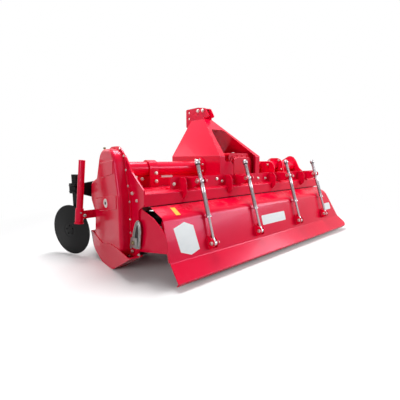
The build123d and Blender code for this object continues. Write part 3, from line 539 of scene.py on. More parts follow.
@dataclass(frozen=True)
class Cad:
    """The machine's own millimetres inside the frame.

    Attributes:
        x0, y0: where the machine's x and y are 0, in the frame's metres.
    """

    x0: float
    y0: float

    @classmethod
    def from_frame(cls) -> "Cad":
        """Read the two datums from the left end plate and the left tube.

        Returns:
            The machine's places in the frame.
        """
        plate_low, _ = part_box("left_end_plate")
        tube_low, tube_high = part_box("left_tube")
        return cls(plate_low.x, (tube_low.y + tube_high.y) / 2)

    def matrix(self) -> Matrix:
        """Machine millimetres to the frame's metres."""
        return Matrix.Translation((self.x0, self.y0, 0.0)) @ Matrix.Scale(MM, 4)

    def box(self, node: str) -> tuple[Vector, Vector]:
        """Measure a node.

        Args:
            node: its name.

        Returns:
            Its lowest and its highest corner, in machine millimetres.
        """
        low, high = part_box(node)
        back = self.matrix().inverted()
        return back @ low, back @ high

    def points(self, node: str) -> list[Vector]:
        """A node's mesh points, in machine millimetres."""
        back = self.matrix().inverted()
        return [back @ vertex.co for vertex in bpy.data.objects[node].data.vertices]

    def outline(self, node: str, side: int) -> list[Point]:
        """Corners of a flat node's face square to x, in order round its middle.

        Args:
            node: the node's name.
            side: 0 for its lowest x, 1 for its highest.

        Returns:
            Corners as (y, z).
        """
        points = self.points(node)
        x = (min if side == 0 else max)(p.x for p in points)
        face = {(round(p.y, 1), round(p.z, 1)) for p in points if abs(p.x - x) < FLAT}
        cy = (min(y for y, _ in face) + max(y for y, _ in face)) / 2
        cz = (min(z for _, z in face) + max(z for _, z in face)) / 2
        return sorted(face, key=lambda p: math.atan2(p[1] - cz, p[0] - cy))


def polar(radius: float, angle: float) -> Point:
    """The point at a radius and an angle in radians."""
    return (radius * math.cos(angle), radius * math.sin(angle))


def facing(point: Sequence[float], normal: Sequence[float], spin: float = 0.0) -> Matrix:
    """Place whose +Z points out of a surface.

    Args:
        point: where it stands.
        normal: which way it points.
        spin: degrees that it is turned about that way.

    Returns:
        The place.
    """
    turn = Vector(normal).to_track_quat("Z", "Y").to_matrix().to_4x4()
    return Matrix.Translation(Vector(point)) @ turn @ Matrix.Rotation(math.radians(spin), 4, "Z")


def spaced(corners: Sequence[Sequence[float]], count: int, closed: bool = True) -> list[Vector]:
    """Points evenly spaced along a line of corners.

    Args:
        corners: the line's corners.
        count: how many points.
        closed: whether the line comes back to its start.

    Returns:
        The points.
    """
    line = [Vector(c) for c in corners]
    if closed:
        line.append(line[0])
    lengths = [(b - a).length for a, b in zip(line, line[1:])]
    total = sum(lengths)
    gaps = count if closed else max(count - 1, 1)
    points = []
    for i in range(count):
        want = total * i / gaps
        k = 0
        while k < len(lengths) - 1 and want > lengths[k]:
            want -= lengths[k]
            k += 1
        points.append(line[k].lerp(line[k + 1], min(want / lengths[k], 1.0) if lengths[k] else 0.0))
    return points


def inset(corners: Sequence[Point], distance: float) -> list[Point]:
    """A closed outline moved towards its inside, each corner along its own bisector.

    Args:
        corners: the outline, walked anticlockwise.
        distance: how far.

    Returns:
        The new corners.
    """
    moved = []
    count = len(corners)
    for i in range(count):
        before, here, after = (Vector(corners[j % count]) for j in (i - 1, i, i + 1))
        along = (after - here).normalized() + (here - before).normalized()
        inward = Vector((-along.y, along.x)).normalized()
        moved.append(tuple(here + inward * distance))
    return moved


# ---- meshes ------------------------------------------------------------------------------

class Maker:
    """Collects the geometry of one piece, in machine millimetres."""

    def __init__(self, cad: Cad) -> None:
        """Start an empty piece."""
        self.cad = cad
        self.mesh = bmesh.new()

    def rings(self, rings: Sequence[Sequence[Vector]], closed: bool = False, capped: bool = True) -> None:
        """Skin a row of rings with as many points each.

        Args:
            rings: the rings in order.
            closed: whether the last joins the first.
            capped: whether the two ends are filled.
        """
        made = [[self.mesh.verts.new(p) for p in ring] for ring in rings]
        pairs = list(zip(made, made[1:]))
        if closed:
            pairs.append((made[-1], made[0]))
        for low, high in pairs:
            count = len(low)
            for i in range(count):
                j = (i + 1) % count
                self.mesh.faces.new((low[i], low[j], high[j], high[i]))
        if capped and not closed:
            self.mesh.faces.new(made[0][::-1])
            self.mesh.faces.new(made[-1])

    def lathe(self, profile: Sequence[Point], place: Matrix, steps: int = 24) -> None:
        """Turn a profile of (radius, height) about the place's Z.

        Args:
            profile: from the foot to the top.
            place: where it stands.
            steps: sides of the circle.
        """
        angles = [2 * math.pi * i / steps for i in range(steps)]
        self.rings([[place @ Vector((*polar(radius, a), height)) for a in angles]
                    for radius, height in profile])

    def prism(self, outline: Sequence[Point], low: float, high: float, place: Matrix,
              chamfer: float = 0.0) -> None:
        """A block with a flat outline and, if wanted, chamfered edges.

        Args:
            outline: corners in the place's own XY, anticlockwise.
            low, high: its ends along Z.
            place: where it stands.
            chamfer: width of the chamfer.
        """
        levels = [(outline, low), (outline, high)]
        if chamfer:
            small = inset(outline, chamfer)
            levels = [(small, low), (outline, low + chamfer), (outline, high - chamfer), (small, high)]
        self.rings([[place @ Vector((x, y, z)) for x, y in corners] for corners, z in levels])

    def sweep(self, path: Sequence[Vector], radius: float | Callable[[float], float], sides: int = 8,
              closed: bool = False) -> None:
        """A round bar along a path.

        Args:
            path: its points.
            radius: its radius, or the radius at a share of its length.
            sides: sides of its section.
            closed: whether it is a ring.
        """
        count = len(path)
        rings = []
        normal = None
        for i, point in enumerate(path):
            ahead = path[(i + 1) % count] if closed or i < count - 1 else point
            behind = path[i - 1] if closed or i > 0 else point
            along = (ahead - behind).normalized()
            if normal is None:
                normal = along.orthogonal().normalized()
            normal = (normal - along * normal.dot(along)).normalized()
            across = along.cross(normal)
            size = radius(i / max(count - 1, 1)) if callable(radius) else radius
            rings.append([point + (normal * math.cos(a) + across * math.sin(a)) * size
                          for a in (2 * math.pi * k / sides for k in range(sides))])
        self.rings(rings, closed=closed)

    def bolt(self, thread: float, point: Sequence[float], normal: Sequence[float],
             spin: float = 0.0) -> None:
        """A hexagon bolt's head with its washer on a surface.

        Args:
            thread: the bolt's thread.
            point: where it stands.
            normal: which way it points.
            spin: degrees that its hexagon is turned.
        """
        Fastener(thread).head(self, facing(point, normal, spin))

    def nut(self, thread: float, point: Sequence[float], normal: Sequence[float],
            spin: float = 0.0) -> None:
        """A nut with its washer and the thread's end on a surface.

        Args:
            thread: the bolt's thread.
            point: where it stands.
            normal: which way it points.
            spin: degrees that its hexagon is turned.
        """
        Fastener(thread).nut(self, facing(point, normal, spin))

    def piece(self, name: str, body: Body, finish: Finish, smooth: float = 40.0) -> bpy.types.Object:
        """Turn what was collected into one piece that rides on a body.

        Args:
            name: the piece's name.
            body: what it moves with.
            finish: its finish.
            smooth: degrees below which an edge is shaded round.

        Returns:
            The piece.
        """
        bmesh.ops.recalc_face_normals(self.mesh, faces=self.mesh.faces)
        data = bpy.data.meshes.new(name)
        self.mesh.to_mesh(data)
        self.mesh.free()
        data.transform(self.cad.matrix())
        data.polygons.foreach_set("use_smooth", [True] * len(data.polygons))
        data.set_sharp_from_angle(angle=math.radians(smooth))
        data.materials.append(finish.material())
        piece = bpy.data.objects.new(name, data)
        bpy.context.scene.collection.objects.link(piece)
        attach(piece, body.value)
        LOG.info("%s: %d faces on %s", name, len(data.polygons), body.value)
        return piece


@dataclass(frozen=True)
class Fastener:
    """A hexagon bolt, sized by its thread.

    Attributes:
        thread: thread diameter.
        across: the hexagon's width over its flats, as a share of the thread.
        washer, thick: the washer's radius and thickness, as shares of the thread.
        head_height, nut_height, end: heights of head and nut, and how far the thread stands out of
            the nut, as shares of the thread.
    """

    thread: float
    across: float = 1.5
    washer: float = 1.05
    thick: float = 0.2
    head_height: float = 0.62
    nut_height: float = 0.8
    end: float = 0.35

    def hexagon(self, maker: Maker, place: Matrix, low: float, height: float) -> None:
        """Add a hexagon with a turned chamfer on top.

        Args:
            maker: the piece.
            place: the bolt's place.
            low: its foot above the place.
            height: its height.
        """
        corner = self.thread * self.across / 2 / math.cos(math.pi / 6)
        rings = []
        for share, level in ((1.0, 0.0), (1.0, 0.84), (0.86, 1.0)):
            rings.append([place @ Vector((*polar(corner * share, math.pi * k / 3), low + height * level))
                          for k in range(6)])
        maker.rings(rings)

    def _washer(self, maker: Maker, place: Matrix) -> float:
        """Add a washer.

        Args:
            maker: the piece.
            place: the bolt's place.

        Returns:
            The washer's thickness.
        """
        thick, radius = self.thread * self.thick, self.thread * self.washer
        profile = [(radius - 0.4, -0.2), (radius, 0.3), (radius, thick - 0.3), (radius - 0.4, thick)]
        maker.lathe(profile, place, 18)
        return thick

    def head(self, maker: Maker, place: Matrix) -> None:
        """Add a washer and a head."""
        low = self._washer(maker, place)
        self.hexagon(maker, place, low, self.thread * self.head_height)

    def nut(self, maker: Maker, place: Matrix) -> None:
        """Add a washer, a nut and the end of the thread.

        Args:
            maker: the piece.
            place: the bolt's place.
        """
        low = self._washer(maker, place)
        height = self.thread * self.nut_height
        self.hexagon(maker, place, low, height)
        radius, top = self.thread / 2, low + height + self.thread * self.end
        maker.lathe([(radius, low), (radius, top - 0.8), (radius - 0.8, top)], place, 12)


RIPPLE = 0.55           # length of a weld's ripple, as a share of the bead's radius
UNEVEN = (0.88, 1.1)    # how the bead's radius wanders
SWELL = (6, 0.35)       # how fast the bead's ends swell, and the share of its size they start from


def weld(maker: Maker, corners: Sequence[Sequence[float]], size: float, seed: int = 1) -> None:
    """Add a weld bead with its ripples along a line.

    Args:
        maker: the piece.
        corners: the seam's corners.
        size: the bead's radius.
        seed: what makes the ripples uneven.
    """
    chance = random.Random(seed)
    line = [Vector(c) for c in corners]
    length = sum((b - a).length for a, b in zip(line, line[1:]))
    count = max(int(length / (size * RIPPLE)), 4)
    swing = [chance.uniform(*UNEVEN) for _ in range(count + 1)]
    rate, start = SWELL

    def radius(share: float) -> float:
        """Give the bead's radius.

        Args:
            share: how far along the seam, from 0 to 1.

        Returns:
            The radius there.
        """
        k = share * count
        end = min(1.0, rate * share + start, rate * (1 - share) + start)
        return size * swing[int(k)] * (0.93 + 0.1 * math.sin(k * 2.1)) * end

    maker.sweep(spaced(corners, count + 1, closed=False), radius, 6)


# ---- gearcase ----------------------------------------------------------------------------

@dataclass
class Gearcase:
    """Fasteners and fittings of the gearcase on the left end.

    Attributes:
        rim_inset: bolt line inside the flange's edge.
        rear, front: heights of the bolts down the flange's two edges.
        thread: thread of the flange bolts.
        plug: the oil level plug's (y, z).
        plug_radius: its radius.
        plug_seat: how far inside the cover's outermost face the plug stands.
        breather: the (x, y, z) of the breather's foot.
        guard_bolt_places: (y, z) of the bolts at the shoe's rear end.
    """

    cad: Cad
    rim_inset: float = 6.5
    rear: tuple[float, ...] = (120, 180, 282, 371, 485, 584, 685, 773, 820)
    front: tuple[float, ...] = (120, 200, 300, 400, 500, 600, 690, 770)
    thread: float = 8.0
    plug: Point = (45.0, 456.0)
    plug_radius: float = 31.0
    plug_seat: float = 4.0
    breather: Place = (-42.0, 84.0, 806.0)
    guard_bolt_places: tuple[Point, ...] = ((-193, 161), (-282, 158))

    def build(self) -> None:
        """Build every piece."""
        self.flange_bolts()
        self.level_plug()
        self.breather_cap()
        self.seam()
        self.guard_bolts()

    def rim_point(self, ring: Sequence[Point], z: float, side: int) -> Point:
        """Where the bolt line passes a height.

        Args:
            ring: the bolt line's corners.
            z: the height.
            side: -1 for its rear edge, 1 for its front edge.

        Returns:
            The (y, z).
        """
        crossings = []
        for (y0, z0), (y1, z1) in zip(ring, [*ring[1:], ring[0]]):
            if (z0 - z) * (z1 - z) <= 0 and z0 != z1:
                crossings.append(y0 + (y1 - y0) * (z - z0) / (z1 - z0))
        return (max(crossings) if side > 0 else min(crossings), z)

    def flange_bolts(self) -> None:
        """Bolts round the flange."""
        maker = Maker(self.cad)
        low, _ = self.cad.box("gearcase_flange")
        ring = inset(self.cad.outline("gearcase_flange", 0), self.rim_inset)
        points = [self.rim_point(ring, z, -1) for z in self.rear]
        points += [self.rim_point(ring, z, 1) for z in self.front]
        for i, point in enumerate(points):
            maker.bolt(self.thread, (low.x, *point), (-1, 0, 0), i * 17.0)
        maker.piece("gearcase_flange_bolts", Body.FRAME, BOLT)

    def level_plug(self) -> None:
        """Round sight plug with a dark hexagon in its middle, on the cover."""
        low, _ = self.cad.box("gearcase_cover")
        place = facing((low.x + self.plug_seat, *self.plug), (-1, 0, 0))
        r = self.plug_radius
        ring = Maker(self.cad)
        ring.lathe([(r, -1), (r, 5), (r - 2, 7), (r - 7, 7.5), (r - 9, 5.5), (r - 12, 5)], place, 40)
        ring.piece("level_plug", Body.FRAME, PLUG)
        eye = Maker(self.cad)
        Fastener(13.0).hexagon(eye, place, 4.5, 4.0)
        eye.piece("level_plug_middle", Body.FRAME, RUBBER_AND_SHADE)

    def breather_cap(self) -> None:
        """Elbow and cap of the breather at the top."""
        maker = Maker(self.cad)
        foot = Vector(self.breather)
        corner = foot + Vector((0, 22, 10))
        maker.sweep([foot, foot + Vector((0, 12, 4)), corner, corner + Vector((0, 2, 8))], 4.5, 12)
        place = facing(corner + Vector((0, 2, 4)), (0, 0.15, 1))
        Fastener(9.0).hexagon(maker, place, 0, 5)
        maker.lathe([(5, 5), (9, 6), (10, 9), (8.5, 13), (4, 15)], place, 20)
        maker.piece("breather", Body.FRAME, BRASS)

    def seam(self) -> None:
        """Sealant line where the cover meets its flange."""
        maker = Maker(self.cad)
        _, high = self.cad.box("gearcase_cover")
        corners = [(high.x - 0.5, y, z) for y, z in self.cad.outline("gearcase_cover", 1)]
        maker.sweep(spaced(corners, 240), 1.2, 6, closed=True)
        maker.piece("gearcase_seal", Body.FRAME, SEALANT_AND_SHADE)

    def guard_bolts(self) -> None:
        """Bolts that hold the shoe's rear end."""
        maker = Maker(self.cad)
        flange, _ = self.cad.box("gearcase_flange")
        for y, z in self.guard_bolt_places:
            maker.bolt(13, (flange.x, y, z), (-1, 0, 0), 20)
        maker.piece("guard_bolts", Body.FRAME, BOLT)


# ---- frame -------------------------------------------------------------------------------

@dataclass
class MainFrame:
    """Fasteners, welds and the arrow label of hood, tubes and rear bar.

    Attributes:
        bar_bolts: places of the bolts on the rear bar, as (x, z).
        web_bolts: places of the bolts on the left tube's web, as (x, z).
        web_half: half of the web's thickness.
        plate: thickness of the gussets and end plates.
        ribs, rib_half: places of the hood's ribs along the machine, and half their thickness.
        flange_circle, flange_bolts: the tube flanges' bolt circle and how many bolts it has.
        flange_thick: thickness of a tube flange.
        strap_heights, strap_shift: heights of the strap's bolts, and their shift from its middle.
        gusset_bolts_front, gusset_bolts_rear: (y, z) of the bolts through the gussets.
        left_bolts: (y, z, thread) of the bolts on the left end plate.
        right_bolts: (y, z) of the bolts on the right end plate.
        bearing_circle, bearing_flange: bolt circle and flange thickness of the right bearing.
        arrow: the arrow label's middle, as (x, z).
        tube_radius, tube_z, tube_ends: the cross tube's radius, its axis' height, and its ends' x.
        seam_pitch, seam_length: the short seams along the hood.
        ring, ring_inset: the ring pin's (y, z), and how far it hangs inside the rear bar's right end.
        ring_radius, ring_wire: radii of the ring and of its wire.
        label_face: how far a label's back and front stand off the surface.
        strip: section of the dark strip behind the hinges, painted shade for the gap under the hood's band,
            as (y, z).
    """

    cad: Cad
    bar_bolts: tuple[Point, ...] = (
        (266, 589), (340, 592), (437, 601), (500, 592), (659, 607), (715, 587), (809, 590), (959, 592),
        (1040, 592), (1157, 592), (1258, 587), (1379, 591), (1490, 615), (1576, 593), (1720, 588),
        (1873, 592), (2040, 575),
    )
    web_bolts: tuple[Point, ...] = ((128, 629), (179, 611))
    web_half: float = 4.0
    plate: float = 10.0
    ribs: tuple[float, ...] = (317, 752, 1317, 1807)
    rib_half: float = 4.0
    flange_circle: float = 70.0
    flange_bolts: int = 8
    flange_thick: float = 16.0
    strap_heights: Point = (594, 653)
    strap_shift: float = 14.0
    gusset_bolts_front: tuple[Point, ...] = ((-112, 590), (-96, 650), (-60, 742), (60, 742), (112, 590))
    gusset_bolts_rear: tuple[Point, ...] = ((-130, 700), (-166, 610), (-60, 592))
    left_bolts: tuple[Place, ...] = ((-205, 541, 12), (-262, 500, 10))
    right_bolts: tuple[Point, ...] = ((-10, 770), (20, 500), (150, 430), (330, 500), (400, 500), (-120, 560))
    bearing_circle: float = 69.0
    bearing_flange: float = 16.0
    arrow: Point = (393.0, 624.0)
    tube_radius: float = 51.0
    tube_z: float = 685.0
    tube_ends: Point = (10.0, 2120.0)
    seam_pitch: int = 250
    seam_length: float = 70.0
    ring: Point = (-300.0, 612.0)
    ring_inset: float = 26.0
    ring_radius: float = 18.0
    ring_wire: float = 2.4
    label_face: Point = (0.2, 0.8)
    strip: tuple[Point, ...] = ((-262, 430), (-259, 430), (-259, 500), (-262, 500))

    def build(self) -> None:
        """Build every piece."""
        self.bar()
        self.tube_flanges()
        self.strap()
        self.gussets()
        self.plates()
        self.arrow_label()
        self.welds()
        self.pin_ring()
        self.hinge_gap_shade()

    def bar(self) -> None:
        """Bolts along the rear bar."""
        maker = Maker(self.cad)
        low, _ = self.cad.box("rear_bar")
        for i, (x, z) in enumerate(self.bar_bolts):
            maker.bolt(11, (x, low.y, z), (0, -1, 0), 13.0 * i)
        maker.piece("rear_bar_bolts", Body.FRAME, BOLT)

    def tube_flanges(self) -> None:
        """Bolts round the flanges where the tubes meet the mast."""
        maker = Maker(self.cad)
        low, left = self.cad.box("left_tube")
        right, _ = self.cad.box("right_tube")
        middle = (low.z + left.z) / 2
        for x, sign in ((left.x - self.flange_thick, -1), (right.x + self.flange_thick, 1)):
            for k in range(self.flange_bolts):
                y, z = polar(self.flange_circle, 2 * math.pi * (k + 0.5) / self.flange_bolts)
                maker.bolt(9, (x, y, middle + z), (sign, 0, 0), 20.0 * k)
        maker.piece("tube_flange_bolts", Body.FRAME, BOLT)

    def strap(self) -> None:
        """Bolts of the strap's legs and of the web beside it."""
        maker = Maker(self.cad)
        low, high = self.cad.box("tube_strap")
        x = (low.x + high.x) / 2 + self.strap_shift
        for y, sign in ((low.y, -1), (high.y, 1)):
            for z in self.strap_heights:
                maker.bolt(13, (x, y, z), (0, sign, 0), z)
        for x, z in self.web_bolts:
            maker.bolt(13, (x, -self.web_half, z), (0, -1, 0), x)
        maker.piece("strap_bolts", Body.FRAME, BOLT)

    def gussets(self) -> None:
        """Bolts through the right tube's gussets and the ribs."""
        maker = Maker(self.cad)
        low, high = self.cad.box("tube_gussets")
        for y, z in self.gusset_bolts_front:
            maker.bolt(11, (high.x, y, z), (1, 0, 0), y)
            maker.bolt(11, (high.x - self.plate, y, z), (-1, 0, 0), y)
        for y, z in self.gusset_bolts_rear:
            maker.bolt(11, (low.x, y, z), (-1, 0, 0), y)
        maker.piece("gusset_bolts", Body.FRAME, BOLT)

    def plates(self) -> None:
        """Bolts on the end plates and the right bearing, and the bearing's cap."""
        maker = Maker(self.cad)
        for y, z, thread in self.left_bolts:
            maker.bolt(thread, (0, y, z), (-1, 0, 0), z)
        _, right = self.cad.box("right_end_plate")
        for y, z in self.right_bolts:
            maker.bolt(12, (right.x, y, z), (1, 0, 0), z)
        low, high = self.cad.box("right_bearing")
        middle = (low + high) / 2
        for k in range(6):
            y, z = polar(self.bearing_circle, math.pi * (k / 3 + 1 / 6))
            maker.bolt(10, (low.x + self.bearing_flange, middle.y + y, middle.z + z), (1, 0, 0), 15)
        cap = facing((high.x, middle.y, middle.z), (1, 0, 0))
        maker.lathe([(40, -1), (40, 2), (36, 5), (10, 6.5)], cap, 40)
        maker.piece("end_plate_bolts", Body.FRAME, BOLT)

    def arrow_label(self) -> None:
        """Plain white arrow of film on the left tube's web."""
        maker = Maker(self.cad)
        x, z = self.arrow
        place = Matrix.Translation((x, -self.web_half, z)) @ Matrix.Rotation(math.radians(90), 4, "X")
        outline = [(-53, -7), (31, -7), (31, -13), (53, 0), (31, 13), (31, 7), (-53, 7)]
        maker.prism(outline, *self.label_face, place)
        maker.piece("arrow_label", Body.FRAME, WHITE_FILM)

    def welds(self) -> None:
        """Beads where ribs, lugs, straps, tubes and mast are welded on."""
        maker = Maker(self.cad)
        bar_low, bar_high = self.cad.box("rear_bar")
        rear, top = bar_low.y, bar_low.z
        for i, x in enumerate(rod_places(self.cad)):
            for side in (-36, -26, 26, 36):
                weld(maker, [(x + side, rear, top + 8), (x + side, rear, bar_high.z - 6)], 3.2, i)
        for x in (rib + side for rib in self.ribs for side in (-self.rib_half, self.rib_half)):
            weld(maker, [(x, rear, bar_high.z - 8), (x, rear, top + 4)], 3.0, int(x))
        for start in range(60, 2060, self.seam_pitch):
            weld(maker, [(start, rear + 60, top), (start + self.seam_length, rear + 60, top)], 3.4, start)
        strap_low, strap_high = self.cad.box("tube_strap")
        for x in (strap_low.x, strap_high.x):
            for y in (strap_low.y, strap_high.y):
                weld(maker, [(x, y, top), (x, y * 0.82, top)], 3.2, int(x))
        for x in self.tube_ends:
            ring = [polar(self.tube_radius, 2 * math.pi * k / 40) for k in range(41)]
            weld(maker, [(x, y, self.tube_z + z) for y, z in ring], 4.0, int(x))
        mast_low, mast_high = self.cad.box("mast_rear_tie")
        for x in (mast_low.x, mast_high.x):
            weld(maker, [(x, -240, top), (x, 340, top)], 4.0, int(x))
        maker.piece("frame_welds", Body.FRAME, WELD_RED, smooth=80.0)

    def hinge_gap_shade(self) -> None:
        """Dark red strip inside the hood, behind the line of hinges: painted shade that darkens the gap
        between the hood's band and the flap.
        """
        maker = Maker(self.cad)
        right, _ = self.cad.box("right_end_plate")
        ends = (self.plate + 0.5, right.x - 0.5)
        # painted shade: a dark strip where the gap between the band and the flap lies in shadow
        maker.rings([[Vector((x, y, z)) for y, z in self.strip] for x in ends])
        maker.piece("hinge_dust_strip", Body.FRAME, SEALANT_AND_SHADE)

    def pin_ring(self) -> None:
        """Open ring pin through the rear bar's right end."""
        maker = Maker(self.cad)
        _, high = self.cad.box("rear_bar")
        centre = Vector((high.x - self.ring_inset, *self.ring))
        angles = (math.radians(20 + 10 * k) for k in range(31))
        path = [centre + Vector((3 * math.sin(a), *polar(self.ring_radius, a))) for a in angles]
        maker.sweep(path, self.ring_wire, 8)
        maker.piece("ring_pin", Body.FRAME, RUBBER_AND_SHADE)


def rod_places(cad: Cad) -> list[float]:
    """The x of each spring rod, read from the trunnions.

    Args:
        cad: the machine's places.

    Returns:
        The four places, from the left.
    """
    xs = sorted(point.x for point in cad.points("trunnions"))
    groups: list[list[float]] = [[xs[0]]]
    for x in xs[1:]:
        if x - groups[-1][-1] > BETWEEN_RODS:
            groups.append([])
        groups[-1].append(x)
    return [(group[0] + group[-1]) / 2 for group in groups]


# ---- hitch and gearbox -------------------------------------------------------------------

@dataclass
class Hitch:
    """Fasteners and fittings of mast, gearbox, drive shaft and lower brackets.

    Attributes:
        bracket_bolt_places: (y, z) of the bolts through the top link bracket.
        cover_inset, cover_corner: the gearbox cover's bolt line inside its edge, and its cut corners.
        cover_bolts, cover_flange: how many bolts it has, and the thickness of the rim they sit on.
        nose_circle: radius of the bolt circle round the drive shaft.
        filler: the filler cap's shift from the cover's middle x, and its y.
        foot_rows, foot_inset, foot_rise: the gearbox's foot bolts: their y, how far they stand inside
            its sides, and how high above its foot.
        shaft_radius, shoulder_radius, spline_length: the drive shaft.
        splines, tooth: how many splines, and one spline as (share of the pitch, on the crest).
    """

    cad: Cad
    bracket_bolt_places: tuple[Point, ...] = ((260, 1203), (193, 1200))
    cover_inset: float = 11.0
    cover_corner: float = 40.0
    cover_bolts: int = 14
    cover_flange: float = 8.0
    nose_circle: float = 49.0
    filler: Point = (40.0, -60.0)
    foot_rows: tuple[float, ...] = (-150, 0, 140)
    foot_inset: float = 8.0
    foot_rise: float = 21.0
    shaft_radius: float = 17.45
    shoulder_radius: float = 20.45
    spline_length: float = 90.0
    splines: int = 6
    tooth: tuple[tuple[float, bool], ...] = (
        (0.0, True), (0.24, True), (0.48, True), (0.555, True), (0.60, False), (0.78, False), (0.945, False),
        (0.99, True),
    )

    def build(self) -> None:
        """Build every piece."""
        self.bracket_bolts()
        self.gearbox_dressing()
        self.splined_shaft()
        self.welds()

    def bracket_bolts(self) -> None:
        """Bolts through the top link bracket."""
        low, high = self.cad.box("top_link_bracket")
        maker = Maker(self.cad)
        for y, z in self.bracket_bolt_places:
            maker.bolt(16, (low.x, y, z), (-1, 0, 0), 10)
            maker.nut(16, (high.x, y, z), (1, 0, 0), 10)
        maker.piece("top_link_bracket_bolts", Body.FRAME, BOLT)

    def gearbox_dressing(self) -> None:
        """Cover bolts, filler, nose ring, seal and foot bolts of the gearbox."""
        bolts, painted, seal = Maker(self.cad), Maker(self.cad), Maker(self.cad)
        low, high = self.cad.box("gearbox_cover")
        middle = (low + high) / 2
        half_x = (high.x - low.x) / 2 - self.cover_inset
        half_z = (high.z - low.z) / 2 - self.cover_inset
        short_x, short_z = half_x - self.cover_corner, half_z - self.cover_corner
        loop = [(-half_x, -half_z), (half_x, -half_z), (half_x, short_z), (short_x, half_z),
                (-short_x, half_z), (-half_x, short_z)]
        face = [(middle.x + x, high.y - self.cover_flange, middle.z + z) for x, z in loop]
        for i, point in enumerate(spaced(face, self.cover_bolts)):
            painted.bolt(8, point, (0, -1, 0), 21 * i)
        painted.piece("gearbox_cover_bolts", Body.FRAME, CAST_RED)
        box_low, box_high = self.cad.box("gearbox")
        shaft_low, shaft_high = self.cad.box("input_shaft")
        axis = (shaft_low + shaft_high) / 2
        for k in range(6):
            x, z = polar(self.nose_circle, math.pi * k / 3 + 0.3)
            bolts.bolt(8, (axis.x + x, box_high.y, axis.z + z), (0, 1, 0), 9 * k)
        shift, filler_y = self.filler
        filler = facing((middle.x + shift, filler_y, box_high.z), (0, 0, 1))
        Fastener(16).hexagon(bolts, filler, 2, 9)
        bolts.lathe([(15, -1), (15, 2), (13, 3)], filler, 24)
        for x in (box_low.x + self.foot_inset, box_high.x - self.foot_inset):
            for y in self.foot_rows:
                bolts.bolt(12, (x, y, box_low.z + self.foot_rise), (0, 0, 1), y)
        bolts.piece("gearbox_bolts", Body.FRAME, BOLT)
        seal.lathe([(32, -2), (32, 1.2), (29, 2), (21.5, 2), (21.2, -2)],
                   facing((axis.x, box_high.y, axis.z), (0, 1, 0)), 40)
        seal.piece("input_seal", Body.FRAME, RUBBER_AND_SHADE)

    def splined_shaft(self) -> None:
        """Drive shaft with its splines, locking groove and turned shoulder."""
        low, high = self.cad.box("input_shaft")
        radius, wide = self.shaft_radius, self.shoulder_radius
        place = facing(((low.x + high.x) / 2, low.y, (low.z + high.z) / 2), (0, 1, 0))
        length = high.y - low.y
        shoulder = length - self.spline_length
        maker = Maker(self.cad)
        turned = [(wide, 0), (wide, shoulder - 1), (wide - 1.05, shoulder), (radius - 3, shoulder)]
        maker.lathe(turned, place, 40)
        stations = ((shoulder - 2, 1.0, 1.0), (length - 54, 1.0, 1.0), (length - 50, 0.86, 0.94),
                    (length - 42, 0.86, 0.94), (length - 38, 1.0, 1.0), (length - 4, 1.0, 1.0),
                    (length, 0.88, 0.96))
        pitch = 2 * math.pi / self.splines
        maker.rings([
            [place @ Vector((*polar(radius * (crest if on_crest else 0.84 * root), pitch * (k + turn)),
                             along))
             for k in range(self.splines) for turn, on_crest in self.tooth]
            for along, crest, root in stations
        ])
        shaft = maker.piece("splined_drive_shaft", Body.INPUT, TURNED, smooth=28.0)
        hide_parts("input_shaft")

    def welds(self) -> None:
        """Beads where the lower brackets meet the toolbar."""
        maker = Maker(self.cad)
        bar_low, bar_high = self.cad.box("toolbar")
        for x in sorted({round(point.x) for point in self.cad.points("lower_hitch_plates")}):
            weld(maker, [(x, bar_high.y, bar_low.z + 6), (x, bar_high.y, bar_high.z - 6)], 3.6, x)
        maker.piece("hitch_welds", Body.FRAME, WELD_RED, smooth=80.0)


# ---- rotor -------------------------------------------------------------------------------

@dataclass
class Rotor:
    """Bolts of the blades.

    Attributes:
        flanges: how many blade flanges the rotor has.
        places: blades round one flange.
        step: how far each flange is turned on from the last, as a share of the blades' pitch.
        bolt_circle, bolt_half: a blade's bolts from the rotor's axis, and half the way between them.
        first, last: x of the first and of the last flange.
        flange_half, blade: half a flange's thickness, and a blade's thickness.
    """

    cad: Cad
    flanges: int = 8
    places: int = 6
    step: float = 0.36
    bolt_circle: float = 88.0
    bolt_half: float = 16.0
    first: float = 148.0
    last: float = 1972.0
    flange_half: float = 5.0
    blade: float = 8.0

    def build(self) -> None:
        """Build the bolts and their nuts."""
        low, high = self.cad.box("rotor_shaft")
        middle = (low + high) / 2
        pitch = (self.last - self.first) / (self.flanges - 1)
        maker = Maker(self.cad)
        for i in range(self.flanges):
            x = self.first + i * pitch
            for k in range(self.places):
                side = 1 if k % 2 == 0 else -1
                turn = 2 * math.pi * (k + i * self.step) / self.places
                for shift in (-self.bolt_half, self.bolt_half):
                    y = middle.y + shift * math.cos(turn) + self.bolt_circle * math.sin(turn)
                    z = middle.z + shift * math.sin(turn) - self.bolt_circle * math.cos(turn)
                    maker.bolt(12, (x + side * (self.flange_half + self.blade), y, z), (side, 0, 0), 11 * k)
                    maker.nut(12, (x - side * self.flange_half, y, z), (-side, 0, 0), 11 * k)
        maker.piece("blade_bolts", Body.ROTOR, BOLT)


# ---- flap --------------------------------------------------------------------------------

